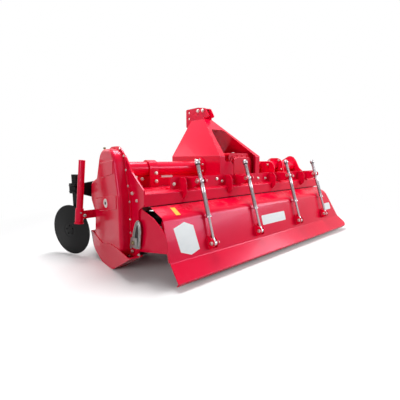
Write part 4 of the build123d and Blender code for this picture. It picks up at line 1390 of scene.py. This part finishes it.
@dataclass
class Flap:
    """Labels, ear, edge strip, welds and hinge clips of the trailing flap.

    Attributes:
        crest, high, low: (y, z) of the corners of the outer face, from the hinge down.
        plate_label, yellow_label: corners of the label on the left of the main face and of the one
            on the slope above it, as (x, z).
        label_face: how far a label's back and front stand off the surface.
        ear: corners of the ear as (x inside the panel's left end, z).
        ear_face: how far its back and front stand off the slope.
        edge_heights: z of the edge strip's corners.
        edge_section: its section, as (x, depth).
    """

    cad: Cad
    crest: Point = (-326.0, 460.5)
    high: Point = (-430.0, 408.0)
    low: Point = (-507.0, 146.0)
    plate_label: tuple[Point, ...] = ((138, 338), (224, 366), (289, 337), (309, 187), (237, 167), (162, 195))
    yellow_label: tuple[Point, ...] = ((182, 448), (215, 446), (213, 411), (180, 411))
    label_face: Point = (0.2, 0.7)
    ear: tuple[Point, ...] = ((4, 462), (-18, 462), (-6, 413), (4, 409))
    ear_face: Point = (-3.0, -0.2)
    edge_heights: tuple[float, ...] = (388, 300, 220, 152)
    edge_section: tuple[Point, ...] = ((-3, 0), (3, 0), (3, 16), (-3, 16))

    def build(self) -> None:
        """Build every piece."""
        self.labels()
        self.welds()
        self.hinge_clips()
        self.edges()

    def on_panel(self, x: float, z: float, lift: float = 0.0, slope: bool = False) -> Vector:
        """A point on the panel's outer face.

        Args:
            x, z: where.
            lift: how far it stands off.
            slope: on the upper slope, not the main face.

        Returns:
            The point.
        """
        (y0, z0), (y1, z1) = (self.crest, self.high) if slope else (self.high, self.low)
        y = y0 + (z - z0) * (y1 - y0) / (z1 - z0)
        return Vector((x, y, z)) + self.normal(slope) * lift

    def normal(self, slope: bool = False) -> Vector:
        """The outward normal of the panel.

        Args:
            slope: of the upper slope, not the main face.

        Returns:
            The normal.
        """
        (y0, z0), (y1, z1) = (self.crest, self.high) if slope else (self.high, self.low)
        return Vector((0, -(z0 - z1), y0 - y1)).normalized()

    def film(self, name: str, corners: Sequence[Point], finish: Finish, slope: bool = False) -> None:
        """A flat label on the panel.

        Args:
            name: the piece's name.
            corners: its corners as (x, z) on the panel.
            finish: its finish.
            slope: on the upper slope, not the main face.
        """
        maker = Maker(self.cad)
        maker.rings([[self.on_panel(x, z, h, slope) for x, z in corners] for h in self.label_face])
        maker.piece(name, Body.FLAP, finish)

    @staticmethod
    def rounded_box(x0: float, x1: float, z0: float, z1: float, radius: float) -> list[Point]:
        """Corners of a rectangle with rounded corners.

        Args:
            x0, x1: its ends.
            z0, z1: its foot and its top.
            radius: of its corners.

        Returns:
            The corners as (x, z).
        """
        points = []
        for cx, cz, start in ((x1 - radius, z1 - radius, 0), (x0 + radius, z1 - radius, 90),
                              (x0 + radius, z0 + radius, 180), (x1 - radius, z0 + radius, 270)):
            for k in range(5):
                dx, dz = polar(radius, math.radians(start + 22.5 * k))
                points.append((cx + dx, cz + dz))
        return points

    def labels(self) -> None:
        """The four blank labels."""
        self.film("plate_label", self.plate_label, WHITE_FILM)
        self.film("yellow_label", self.yellow_label, YELLOW_FILM, slope=True)
        self.film("bar_label", self.rounded_box(980, 1300, 234, 308, 9), WHITE_FILM)
        self.film("small_label", self.rounded_box(2034, 2150, 232, 298, 8), WHITE_FILM)

    def welds(self) -> None:
        """Beads at the feet of the rods' ears."""
        maker = Maker(self.cad)
        low, high = self.cad.box("flap_clevises")
        for i, x in enumerate(rod_places(self.cad)):
            for side in (-23, -15, 15, 23):
                seam = [self.on_panel(x + side, z) for z in (low.z + 3, high.z - 3)]
                weld(maker, seam, 3.4, i)
        maker.piece("clevis_welds", Body.FLAP, WELD_RED, smooth=80.0)

    def hinge_clips(self) -> None:
        """Washers and spring clips at the hinge rod's ends."""
        low, high = self.cad.box("hinge_rod")
        middle = (low + high) / 2
        maker = Maker(self.cad)
        for x, sign in ((low.x + 10, 1), (high.x - 7, -1)):
            place = facing((x, middle.y, middle.z), (sign, 0, 0))
            maker.lathe([(9.3, 0), (17, 0), (17, 2.5), (9.3, 2.5)], place, 24)
            centre = Vector((x - sign * 4, middle.y, middle.z))
            clip = [centre + Vector((0, *polar(16, math.radians(-60 + 20 * k)))) for k in range(16)]
            maker.sweep(clip, 1.8, 8)
            maker.sweep([centre + Vector((0, 0, 20)), centre - Vector((0, 0, 18))], 2.2, 8)
        maker.piece("hinge_clips", Body.FRAME, ZINC)

    def edges(self) -> None:
        """Ear at the panel's upper left corner, and the flat strip that stiffens its left edge."""
        maker = Maker(self.cad)
        low, _ = self.cad.box("flap_panel")
        maker.rings([[self.on_panel(low.x + x, z, lift, slope=True) for x, z in self.ear]
                     for lift in self.ear_face])
        line = [self.on_panel(low.x + 3, z, -5.2) for z in self.edge_heights]
        inward = -self.normal()
        for ends in zip(line, line[1:]):
            maker.rings([[end + Vector((x, 0, 0)) + inward * depth for x, depth in self.edge_section]
                         for end in ends])
        maker.piece("flap_edge_strip", Body.FLAP, RED)


# ---- spring rods -------------------------------------------------------------------------

@dataclass
class SpringRods:
    """The four plated rods with their coil springs, dome nuts and eyes.

    Attributes:
        trunnion, eye: the pivot's and the eye's (y, z) at rest.
        above: trunnion to the rod's top.
        collar: trunnion to the collar under the spring.
        rod: the rod's radius.
        tube_length: trunnion to the end of its guide tube.
        stop_coil, lift_coil: radius, wire and turns of the short spring above the trunnion and of
            the long one below it.
        joints: the frame's joints, for the rods' travel.
    """

    cad: Cad
    trunnion: Point = (-391.0, 610.0)
    eye: Point = (-524.0, 213.0)
    above: float = 148.0
    collar: float = 236.0
    rod: float = 8.8
    tube_length: float = 84.0
    stop_coil: Place = (11.6, 2.5, 17.0)
    lift_coil: Place = (12.6, 2.9, 23.0)
    joints: tuple = ()

    def build(self) -> None:
        """Build the pieces of each body."""
        self.rods()
        self.trunnions()
        self.springs()

    def place(self, x: float) -> Matrix:
        """Place of one rod: its Z runs up along the rod from the trunnion.

        Args:
            x: where the rod is along the machine.

        Returns:
            The place.
        """
        along = Vector((0, self.trunnion[0] - self.eye[0], self.trunnion[1] - self.eye[1]))
        return facing((x, *self.trunnion), along)

    def span(self) -> float:
        """Trunnion to eye."""
        return math.dist(self.trunnion, self.eye)

    @staticmethod
    def coil(maker: Maker, place: Matrix, low: float, high: float, radius: float, wire: float,
             turns: float) -> None:
        """Add a coil spring with closed ends.

        Args:
            maker: the piece.
            place: its axis.
            low, high: its ends.
            radius: to the wire's middle.
            wire: the wire's radius.
            turns: how many turns.
        """
        flat_end, steps = 1.0, 18
        count = int(turns * steps)
        path = []
        for i in range(count + 1):
            turn = i / count * turns
            rise = (turn - flat_end) / (turns - 2 * flat_end)
            height = low + wire + (high - low - 2 * wire) * min(max(rise, 0.0), 1.0)
            if rise < 0:
                height += wire * 1.9 * (min(turn, flat_end) - flat_end)
            height = max(height, low + wire * 0.6)
            path.append(place @ Vector((*polar(radius, 2 * math.pi * turn), height)))
        maker.sweep(path, wire, 8)

    def rods(self) -> None:
        """Rod, eye, collar, top nut and stop spring of all four, which slide with the flap."""
        low, span, r = -self.collar, self.span(), self.rod
        steel, dark, bolts = Maker(self.cad), Maker(self.cad), Maker(self.cad)
        top = self.above
        for x in rod_places(self.cad):
            place = self.place(x)
            steel.lathe([(r - 1, -span + 14), (r, -span + 16), (r, top - 8), (r - 2, top - 6)], place, 24)
            steel.lathe([(r, low - 13), (17, low - 12.5), (19.5, low - 10.5), (19.5, low - 3),
                         (17.5, low - 0.6), (r, low - 0.4)], place, 32)
            dome = [(17.5, top - 31), (19.8, top - 29), (20, top - 22), (18.5, top - 13), (15, top - 6),
                    (9.5, top - 1.6), (3, top - 0.1)]
            steel.lathe(dome, place, 36)
            across = facing(place @ Vector((0, 0, -span)), (1, 0, 0))
            eye = [(8, -14), (14.5, -14), (17.4, -11.5), (18.6, -6), (18.6, 6), (17.4, 11.5), (14.5, 14),
                   (8, 14)]
            steel.lathe(eye, across, 32)
            neck = [(12.5, -span + 13), (12.2, -span + 20), (9.5, -span + 30), (8.7, -span + 34)]
            steel.lathe(neck, place, 24)
            self.coil(steel, place, 16.0, top - 38, *self.stop_coil)
            dark.lathe([(r, top - 38), (17, top - 38), (18.5, top - 36.5), (18.5, top - 32.5),
                        (17, top - 31), (r, top - 31)], place, 32)
            bolts.lathe([(6.9, -33), (6.9, 33)], across, 20)
            bolts.bolt(14, across @ Vector((0, 0, -23)), (-1, 0, 0), 12)
            bolts.nut(14, across @ Vector((0, 0, 23)), (1, 0, 0), 12)
        rods = steel.piece("plated_rods", Body.RODS, PLATED)
        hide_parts("spring_rods")
        dark.piece("rod_buffers", Body.RODS, RUBBER_AND_SHADE)
        bolts.piece("rod_eye_bolts", Body.RODS, BOLT)

    def trunnions(self) -> None:
        """Ball trunnions with their cross pins, guide tubes and split pins."""
        steel, pins = Maker(self.cad), Maker(self.cad)
        for x in rod_places(self.cad):
            place = self.place(x)
            across = facing(place.translation, (1, 0, 0))
            ball = [(9, -25)]
            for k in range(9):
                angle = math.radians(-62 + 15.5 * k)
                ball.append((17.5 * math.cos(angle) + 1.5, 20 * math.sin(angle)))
            ball.append((9, 25))
            steel.lathe(ball, across, 36)
            pins.lathe([(8.9, -40), (8.9, 40)], across, 24)
            for side in (-1, 1):
                end = across @ Vector((0, 0, side * 37.5))
                pins.lathe([(9.5, 0), (16, 0), (16, 2), (9.5, 2)], facing(end, (side, 0, 0)), 24)
                pins.sweep([end + Vector((side * 3.4, -13, 4)), end + Vector((side * 3.4, 13, -4))], 1.8, 8)
            tube = [(9.4, -17), (14, -17), (15, -18.5), (15, -self.tube_length + 3),
                    (14, -self.tube_length), (9.4, -self.tube_length)]
            steel.lathe(tube, place, 32)
        block = steel.piece("ball_trunnions", Body.TRUNNIONS, PLATED)
        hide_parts("trunnions")
        pins.piece("trunnion_pins", Body.TRUNNIONS, BOLT)

    def springs(self) -> None:
        """Coil springs between the guide tubes and the collars, at their rest length."""
        maker = Maker(self.cad)
        for x in rod_places(self.cad):
            self.coil(maker, self.place(x), -self.collar + 0.4, -self.tube_length - 0.4, *self.lift_coil)
        coils = maker.piece("coil_springs", Body.TRUNNIONS, SPRING)
        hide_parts("lift_springs")
        joint = next(j for j in self.joints if j["name"] == "rod_slide")
        travel = joint["range_m"][1] / MM
        length = self.collar - self.tube_length
        anchor = self.cad.matrix() @ (self.place(0.0) @ Vector((0, 0, -self.tube_length)))
        axis = self.place(0.0).to_3x3() @ Vector((0, 0, 1))
        (length - travel) / length
        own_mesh(coils)


# ---- disc --------------------------------------------------------------------------------

@dataclass
class Disc:
    """Hub bolts of the cutting disc, the clamp's U-bolts and the arm's bolts.

    Attributes:
        centre: the rim's middle.
        turn: degrees that the disc is turned out of line.
        dish: how far the disc's middle stands out of its rim.
        shank: the shank's middle ahead of the disc's, along the disc's axis.
        hub_bolts, hub_circle: how many bolts the hub plate has, and their circle's radius.
        clamp_heights: of the two U-bolts.
        clamp_half, clamp_bar: half a U-bolt's width, and its bar's radius.
        nut_ahead, end_ahead: how far its nuts and its ends stand ahead of the shank's middle.
        shank_holes: how far the holes down the shank lie below its top.
        arm_bolts: (x, z) of the arm's bolts.
    """

    cad: Cad
    centre: Place = (-196.0, 482.0, 204.0)
    turn: float = 25.0
    dish: float = 18.0
    shank: float = 62.0
    hub_bolts: int = 5
    hub_circle: float = 33.0
    clamp_heights: Point = (503, 549)
    clamp_half: float = 30.0
    clamp_bar: float = 7.5
    nut_ahead: float = 30.5
    end_ahead: float = 44.0
    shank_holes: tuple[float, ...] = (22, 46, 96, 250, 300)
    arm_bolts: tuple[Point, ...] = ((105, 500), (105, 532), (215, 500), (215, 532))

    def build(self) -> None:
        """Build every piece."""
        self.hub()
        self.clamp()
        self.arm()

    def place(self) -> Matrix:
        """Place whose X is the disc's axis."""
        return Matrix.Translation(self.centre) @ Matrix.Rotation(math.radians(self.turn), 4, "Z")

    def hub(self) -> None:
        """Thin hub plate with five small bolts on the disc's round side."""
        place = self.place()
        out = place.to_3x3() @ Vector((-1, 0, 0))
        plate, bolts = Maker(self.cad), Maker(self.cad)
        face = facing(place @ Vector((-self.dish, 0, 0)), out)
        plate.lathe([(46, -0.5), (46, 0.6), (44, 1.2), (6, 1.2)], face, 48)
        plate.piece("disc_hub_plate", Body.DISC, BLACK)
        for k in range(self.hub_bolts):
            point = face @ Vector((*polar(self.hub_circle, 2 * math.pi * k / self.hub_bolts + 0.4), 1))
            bolts.bolt(7, point, out, 14 * k)
        bolts.piece("disc_hub_bolts", Body.DISC, BLACK)

    def clamp(self) -> None:
        """Two U-bolts round the shank, with their nuts, and the rims of the shank's holes."""
        base = self.place() @ Matrix.Translation((0, 0, -self.centre[2]))
        ahead = base.to_3x3() @ Vector((1, 0, 0))
        steel = Maker(self.cad)
        bend, half = self.shank - 18, self.clamp_half
        for z in self.clamp_heights:
            angles = (math.radians(90 + 15 * k) for k in range(13))
            loop = [Vector((bend + 23.8 * math.cos(a), half * math.sin(a), z)) for a in angles]
            ends = [Vector((self.shank + self.end_ahead, y, z)) for y in (half, -half)]
            steel.sweep([base @ p for p in (ends[0], *loop, ends[1])], self.clamp_bar, 12)
            for y in (-half, half):
                steel.nut(14, base @ Vector((self.shank + self.nut_ahead, y, z)), ahead, 10)
        _, high = self.cad.box("disc_shank")
        for drop in self.shank_holes:
            hole = facing(base @ Vector((self.shank - 14.2, 0, high.z - drop)), -ahead)
            steel.lathe([(8, -0.5), (8, 0.6), (6.4, 0.6), (6.2, -0.4)], hole, 24)
        steel.piece("clamp_u_bolts", Body.FRAME, BLACK)

    def arm(self) -> None:
        """Bolts that hold the arm on the toolbar."""
        maker = Maker(self.cad)
        _, high = self.cad.box("disc_arm")
        for x, z in self.arm_bolts:
            maker.bolt(14, (x, high.y, z), (0, 1, 0), x)
        maker.piece("disc_arm_bolts", Body.FRAME, BOLT)


# ---- parking stand and skids -------------------------------------------------------------

@dataclass
class Stand:
    """Locking pin, bolt and cap of the parking stand.

    Attributes:
        foot, lean, length: the leg's foot, the degrees it leans to the right, and its length.
        pin_height, pin_half, pin_radius: the locking pin: its place up the leg, half its length and
            its radius.
        bolt, bolt_depth: (x, z) of the bracket's bolt, and how far it stands inside the rear face.
    """

    cad: Cad
    foot: Place = (-189.0, 300.0, 284.0)
    lean: float = 6.2
    length: float = 462.0
    pin_height: float = 84.0
    pin_half: float = 42.0
    pin_radius: float = 5.5
    bolt: Point = (-148.0, 342.0)
    bolt_depth: float = 12.0

    def place(self) -> Matrix:
        """Place of the leg: Z runs up from its foot."""
        return Matrix.Translation(self.foot) @ Matrix.Rotation(math.radians(self.lean), 4, "Y")

    def build(self) -> None:
        """Build every piece."""
        place = self.place()
        cap, pin = Maker(self.cad), Maker(self.cad)
        top = place @ Matrix.Translation((0, 0, self.length))
        cap.lathe([(23.0, -1), (24, 0), (24, 2), (21, 4), (8, 5)], top, 36)
        cap.piece("stand_cap", Body.STAND, RED)
        middle, reach = place @ Vector((0, 0, self.pin_height)), Vector((0, self.pin_half, 0))
        pin.sweep([middle - reach, middle + reach], self.pin_radius, 16)
        low, _ = self.cad.box("stand_bracket")
        x, z = self.bolt
        pin.bolt(12, (x, low.y + self.bolt_depth, z), (0, -1, 0), 9)
        pin.piece("stand_pin_and_bolt", Body.FRAME, ZINC)


@dataclass
class Skids:
    """Clamp plate and bolts of the right adjuster, and the right runner's bolts.

    Attributes:
        clamp, clamp_half, clamp_thick: (y, z) of the clamp plate's middle, half its sides and its
            thickness.
        small_bolts: z and turn of the adjuster's smaller bolts.
        runner_face, runner_bolts: x of the face the runner's bolts sit on, and their (y, z).
    """

    cad: Cad
    clamp: Point = (-226.0, 246.0)
    clamp_half: Point = (27.0, 28.0)
    clamp_thick: float = 8.0
    small_bolts: tuple[Point, ...] = ((330, 8), (186, 20))
    runner_face: float = 2138.0
    runner_bolts: tuple[Point, ...] = ((-80, 205), (60, 140), (260, 150))

    def build(self) -> None:
        """Build the clamp plate and the bolts."""
        plate, bolts = Maker(self.cad), Maker(self.cad)
        _, high = self.cad.box("right_skid_adjuster")
        right = (1, 0, 0)
        y, z = self.clamp
        half_y, half_z = self.clamp_half
        outline = [(-half_y, -half_z), (half_y, -half_z), (half_y, half_z), (-half_y, half_z)]
        plate.prism(outline, 0, self.clamp_thick, facing((high.x, y, z), right), 1.5)
        bolts.bolt(14, (high.x + self.clamp_thick, y, z), right, 8)
        for z, turn in self.small_bolts:
            bolts.bolt(12, (high.x, y, z), right, turn)
        plate.piece("adjuster_clamp", Body.FRAME, ZINC)
        for y, z in self.runner_bolts:
            bolts.bolt(12, (self.runner_face, y, z), right, y)
        bolts.piece("skid_bolts", Body.FRAME, BOLT)


@dataclass
class SlottedBracket:
    """The left shoe's wide slotted adjuster with its clamp plate.

    Attributes:
        outer, slot, clamp: outlines of the bracket, its slot and its clamp plate as (y, z).
        bolt: (y, z) of the clamp plate's bolt.
        back, face, clamp_face: x of the bracket's back, of its face and of the clamp plate's face.
        rounding: how far the rounded edges reach in from the outlines.
        edge, lip: radii of the outer edge's and of the slot's rounding.
    """

    cad: Cad
    outer: tuple[Point, ...] = ((-287, 200), (-200, 200), (-203, 262), (-213, 300), (-246, 358), (-262, 374),
                                (-279, 380), (-294, 373), (-303, 352), (-307, 315))
    slot: tuple[Point, ...] = ((-272, 215), (-226, 215), (-229, 270), (-240, 305), (-263, 346), (-272, 352),
                               (-281, 347), (-286, 315))
    clamp: tuple[Point, ...] = ((-270, 197), (-172, 190), (-194, 258), (-272, 266))
    bolt: Point = (-226.0, 228.0)
    back: float = -1.0
    face: float = -9.0
    clamp_face: float = -17.0
    rounding: float = 3.0
    edge: float = 3.4
    lip: float = 2.6

    @staticmethod
    def plate(maker: Maker, outline: Sequence[Point], ends: Point) -> None:
        """Add a plate.

        Args:
            maker: the piece.
            outline: its outline as (y, z).
            ends: x of its two sides.
        """
        maker.rings([[Vector((x, y, z)) for y, z in outline] for x in ends])

    def round_edge(self, maker: Maker, outline: Sequence[Point], radius: float, count: int) -> None:
        """Lay a rounding along an outline at the bracket's face.

        Args:
            maker: the piece.
            outline: where its middle runs, as (y, z).
            radius: its radius.
            count: how many points it has.
        """
        line = spaced([(self.face + 1, y, z) for y, z in outline], count)
        maker.sweep(line, radius, 8, closed=True)

    def build(self) -> None:
        """Build the bracket, a black patch of painted shade in the place of its slot, the clamp plate and
        its bolt.
        """
        body, dark, bolt = Maker(self.cad), Maker(self.cad), Maker(self.cad)
        self.plate(body, self.outer, (self.back, self.face + self.rounding))
        self.round_edge(body, inset(self.outer, self.rounding), self.edge, 120)
        self.round_edge(body, inset(self.slot, -self.rounding), self.lip, 100)
        # painted shade: a black plate on the solid bracket stands in for the dark of its slot
        self.plate(dark, self.slot, (self.back - 1, self.face + self.lip))
        self.plate(body, self.clamp, (self.face - 1, self.clamp_face))
        bolt.bolt(14, (self.clamp_face, *self.bolt), (-1, 0, 0), 8)
        bracket = body.piece("slotted_bracket", Body.FRAME, ZINC)
        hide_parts("left_skid_adjuster")
        dark.piece("bracket_slot", Body.FRAME, RUBBER_AND_SHADE)
        bolt.piece("bracket_bolt", Body.FRAME, BRASS)


# ---- studio ------------------------------------------------------------------------------

WHITE = (1.0, 1.0, 1.0, 1.0)


@dataclass(frozen=True)
class Lamp:
    """A soft box.

    Attributes:
        name: its name.
        where, at: its place and what it points at, in metres.
        size: its sides in metres.
        power: watts.
    """

    name: str
    where: Place
    at: Place
    size: Point
    power: float

    def hang(self) -> None:
        """Add the lamp to the scene."""
        data = bpy.data.lights.new(self.name, "AREA")
        data.shape = "RECTANGLE"
        data.size, data.size_y = self.size
        data.energy = self.power
        lamp = bpy.data.objects.new(self.name, data)
        bpy.context.scene.collection.objects.link(lamp)
        lamp.location = self.where
        lamp.rotation_euler = (Vector(self.at) - Vector(self.where)).to_track_quat("-Z", "Y").to_euler()


@dataclass
class Studio:
    """Floor, lamps, surroundings and camera.

    Attributes:
        eye: the camera's place in the machine's millimetres.
        azimuth, pitch, field_degrees: the camera's turn, how far it looks down, and its field.
        floor_size: the floor's side in metres.
        shadow_reach: metres from the machine's middle between which the floor turns white.
        floor_lit, floor_shown: the floor's tone for the light it throws back, and as it is shown.
        sky_low, sky_high: the sky's colour at the horizon and overhead.
        sky_top: the height in the sky above which it no longer brightens.
        lamps: the soft boxes.
    """

    cad: Cad
    eye: Place = (-758.0, -1764.0, 748.0)
    azimuth: float = -40.08
    pitch: float = 8.436
    field_degrees: float = 73.07
    floor_size: float = 60.0
    shadow_reach: Point = (1.5, 3.0)
    floor_lit: tuple[float, float, float, float] = (0.30, 0.30, 0.30, 1.0)
    floor_shown: tuple[float, float, float, float] = (0.84, 0.84, 0.84, 1.0)
    sky_low: tuple[float, float, float, float] = (0.07, 0.07, 0.075, 1.0)
    sky_high: tuple[float, float, float, float] = (0.30, 0.30, 0.31, 1.0)
    sky_top: float = 0.7
    lamps: tuple[Lamp, ...] = (
        Lamp("overhead", (-0.2, 0.5, 3.8), (0.0, -0.1, 0.4), (2.4, 1.8), 165.0),
        Lamp("rear_right", (3.3, -4.0, 2.2), (0.1, -0.3, 0.4), (3.8, 1.8), 190.0),
        Lamp("front_left", (-3.2, 4.6, 3.3), (-0.2, 0.0, 0.8), (3.0, 2.0), 40.0),
        Lamp("left", (-4.4, -1.4, 1.5), (-0.8, 0.0, 0.5), (1.4, 1.4), 58.0),
    )

    def build(self) -> None:
        """Build the whole studio."""
        self.floor()
        self.world()
        for lamp in self.lamps:
            lamp.hang()
        self.camera()

    def floor(self) -> None:
        """Plain pale floor that keeps the machine's shadow and is white further out."""
        half = self.floor_size / 2
        data = bpy.data.meshes.new("floor")
        data.from_pydata([(-half, -half, 0), (half, -half, 0), (half, half, 0), (-half, half, 0)], [],
                         [(0, 1, 2, 3)])
        floor = bpy.data.objects.new("floor", data)
        bpy.context.scene.collection.objects.link(floor)
        material = bpy.data.materials.new("pale_floor")
        material.use_nodes = True
        graph = Graph(material.node_tree)
        rays = graph.add("ShaderNodeLightPath")
        reach = graph.add("ShaderNodeVectorMath", {"operation": "LENGTH"}, {0: graph.place()})
        seen = self.shown(graph, rays)
        far = Num(graph, reach.outputs["Value"]).step(*self.shadow_reach)
        tone = graph.mix(self.floor_lit, self.floor_shown, seen)
        matt = graph.add("ShaderNodeBsdfDiffuse", None, {"Color": tone})
        white = graph.add("ShaderNodeEmission", None, {"Color": WHITE})
        both = graph.add("ShaderNodeMixShader", None, {"Fac": seen * far,
                                                       1: matt.outputs["BSDF"],
                                                       2: white.outputs["Emission"]})
        graph.add("ShaderNodeOutputMaterial", None, {"Surface": both.outputs["Shader"]})
        data.materials.append(material)

    @staticmethod
    def shown(graph: Graph, rays: bpy.types.Node) -> Num:
        """1 for the rays that show the white background.

        Args:
            graph: the material's or world's graph.
            rays: its Light Path node.

        Returns:
            1 for camera, mirror and glass rays, 0 for the rest.
        """
        glossy, through = (Num(graph, rays.outputs[f"Is {kind} Ray"]) for kind in ("Glossy", "Transmission"))
        return (Num(graph, rays.outputs["Is Camera Ray"]) + glossy + through).clamp()

    def world(self) -> None:
        """White background, and a soft sky, brighter overhead, that lights the machine."""
        world = bpy.data.worlds.new("studio")
        bpy.context.scene.world = world
        world.use_nodes = True
        graph = Graph(world.node_tree)
        where = graph.add("ShaderNodeTexCoord").outputs["Generated"]
        height = Num(graph, graph.add("ShaderNodeSeparateXYZ", None, {"Vector": where}).outputs["Z"])
        sky = graph.mix(self.sky_low, self.sky_high, height.step(0.0, self.sky_top))
        rays = graph.add("ShaderNodeLightPath")
        colour = graph.mix(sky, WHITE, self.shown(graph, rays))
        back = graph.add("ShaderNodeBackground", None, {"Color": colour, "Strength": 1.0})
        graph.add("ShaderNodeOutputWorld", None, {"Surface": back.outputs["Background"]})

    def camera(self) -> None:
        """The camera at the machine's left rear."""
        data = bpy.data.cameras.new("camera")
        data.angle = math.radians(self.field_degrees)
        camera = bpy.data.objects.new("camera", data)
        bpy.context.scene.collection.objects.link(camera)
        camera.location = self.cad.matrix() @ Vector(self.eye)
        camera.rotation_euler = (math.radians(90 - self.pitch), 0, math.radians(self.azimuth))
        bpy.context.scene.camera = camera
        bpy.context.scene.view_settings.view_transform = "Standard"


# ---- the whole -----------------------------------------------------------------------------

FINISH_OF: dict[str, Finish] = {
    "disc_coulter": BLACK, "disc_axle": BLACK, "disc_shank": BLACK, "disc_clamp": BLACK, "disc_arm": BLACK,
    "rotor_blades": BLACK, "gearbox": CAST_RED, "gearbox_cover": CAST_RED, "side_drives": CAST_RED,
    "right_bearing": CAST_RED, "left_skid_adjuster": ZINC, "right_skid_adjuster": ZINC,
    "lower_pins": ZINC, "input_shaft": TURNED, "trunnions": PLATED,
    "spring_rods": PLATED, "lift_springs": SPRING,
}


def dress(nodes: dict[str, bpy.types.Object]) -> None:
    """Give every carried-over node its finish.

    Args:
        nodes: the frame's nodes by name.
    """
    for name, node in nodes.items():
        finish = FINISH_OF.get(name, RED)
        node.data.materials.clear()
        node.data.materials.append(finish.material())
        LOG.info("%s: %s", name, finish.name)


def main() -> None:
    """Build the looks in order and note the sizes."""
    logging.basicConfig(level=logging.INFO, format="%(name)s %(message)s")
    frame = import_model()
    cad = Cad.from_frame()
    dress(frame["nodes"])
    Gearcase(cad).build()
    MainFrame(cad).build()
    Hitch(cad).build()
    Rotor(cad).build()
    Flap(cad).build()
    SpringRods(cad, joints=tuple(frame["joints"])).build()
    Disc(cad).build()
    Stand(cad).build()
    Skids(cad).build()
    SlottedBracket(cad).build()
    Studio(cad).build()


if __name__ == "__main__":
    main()
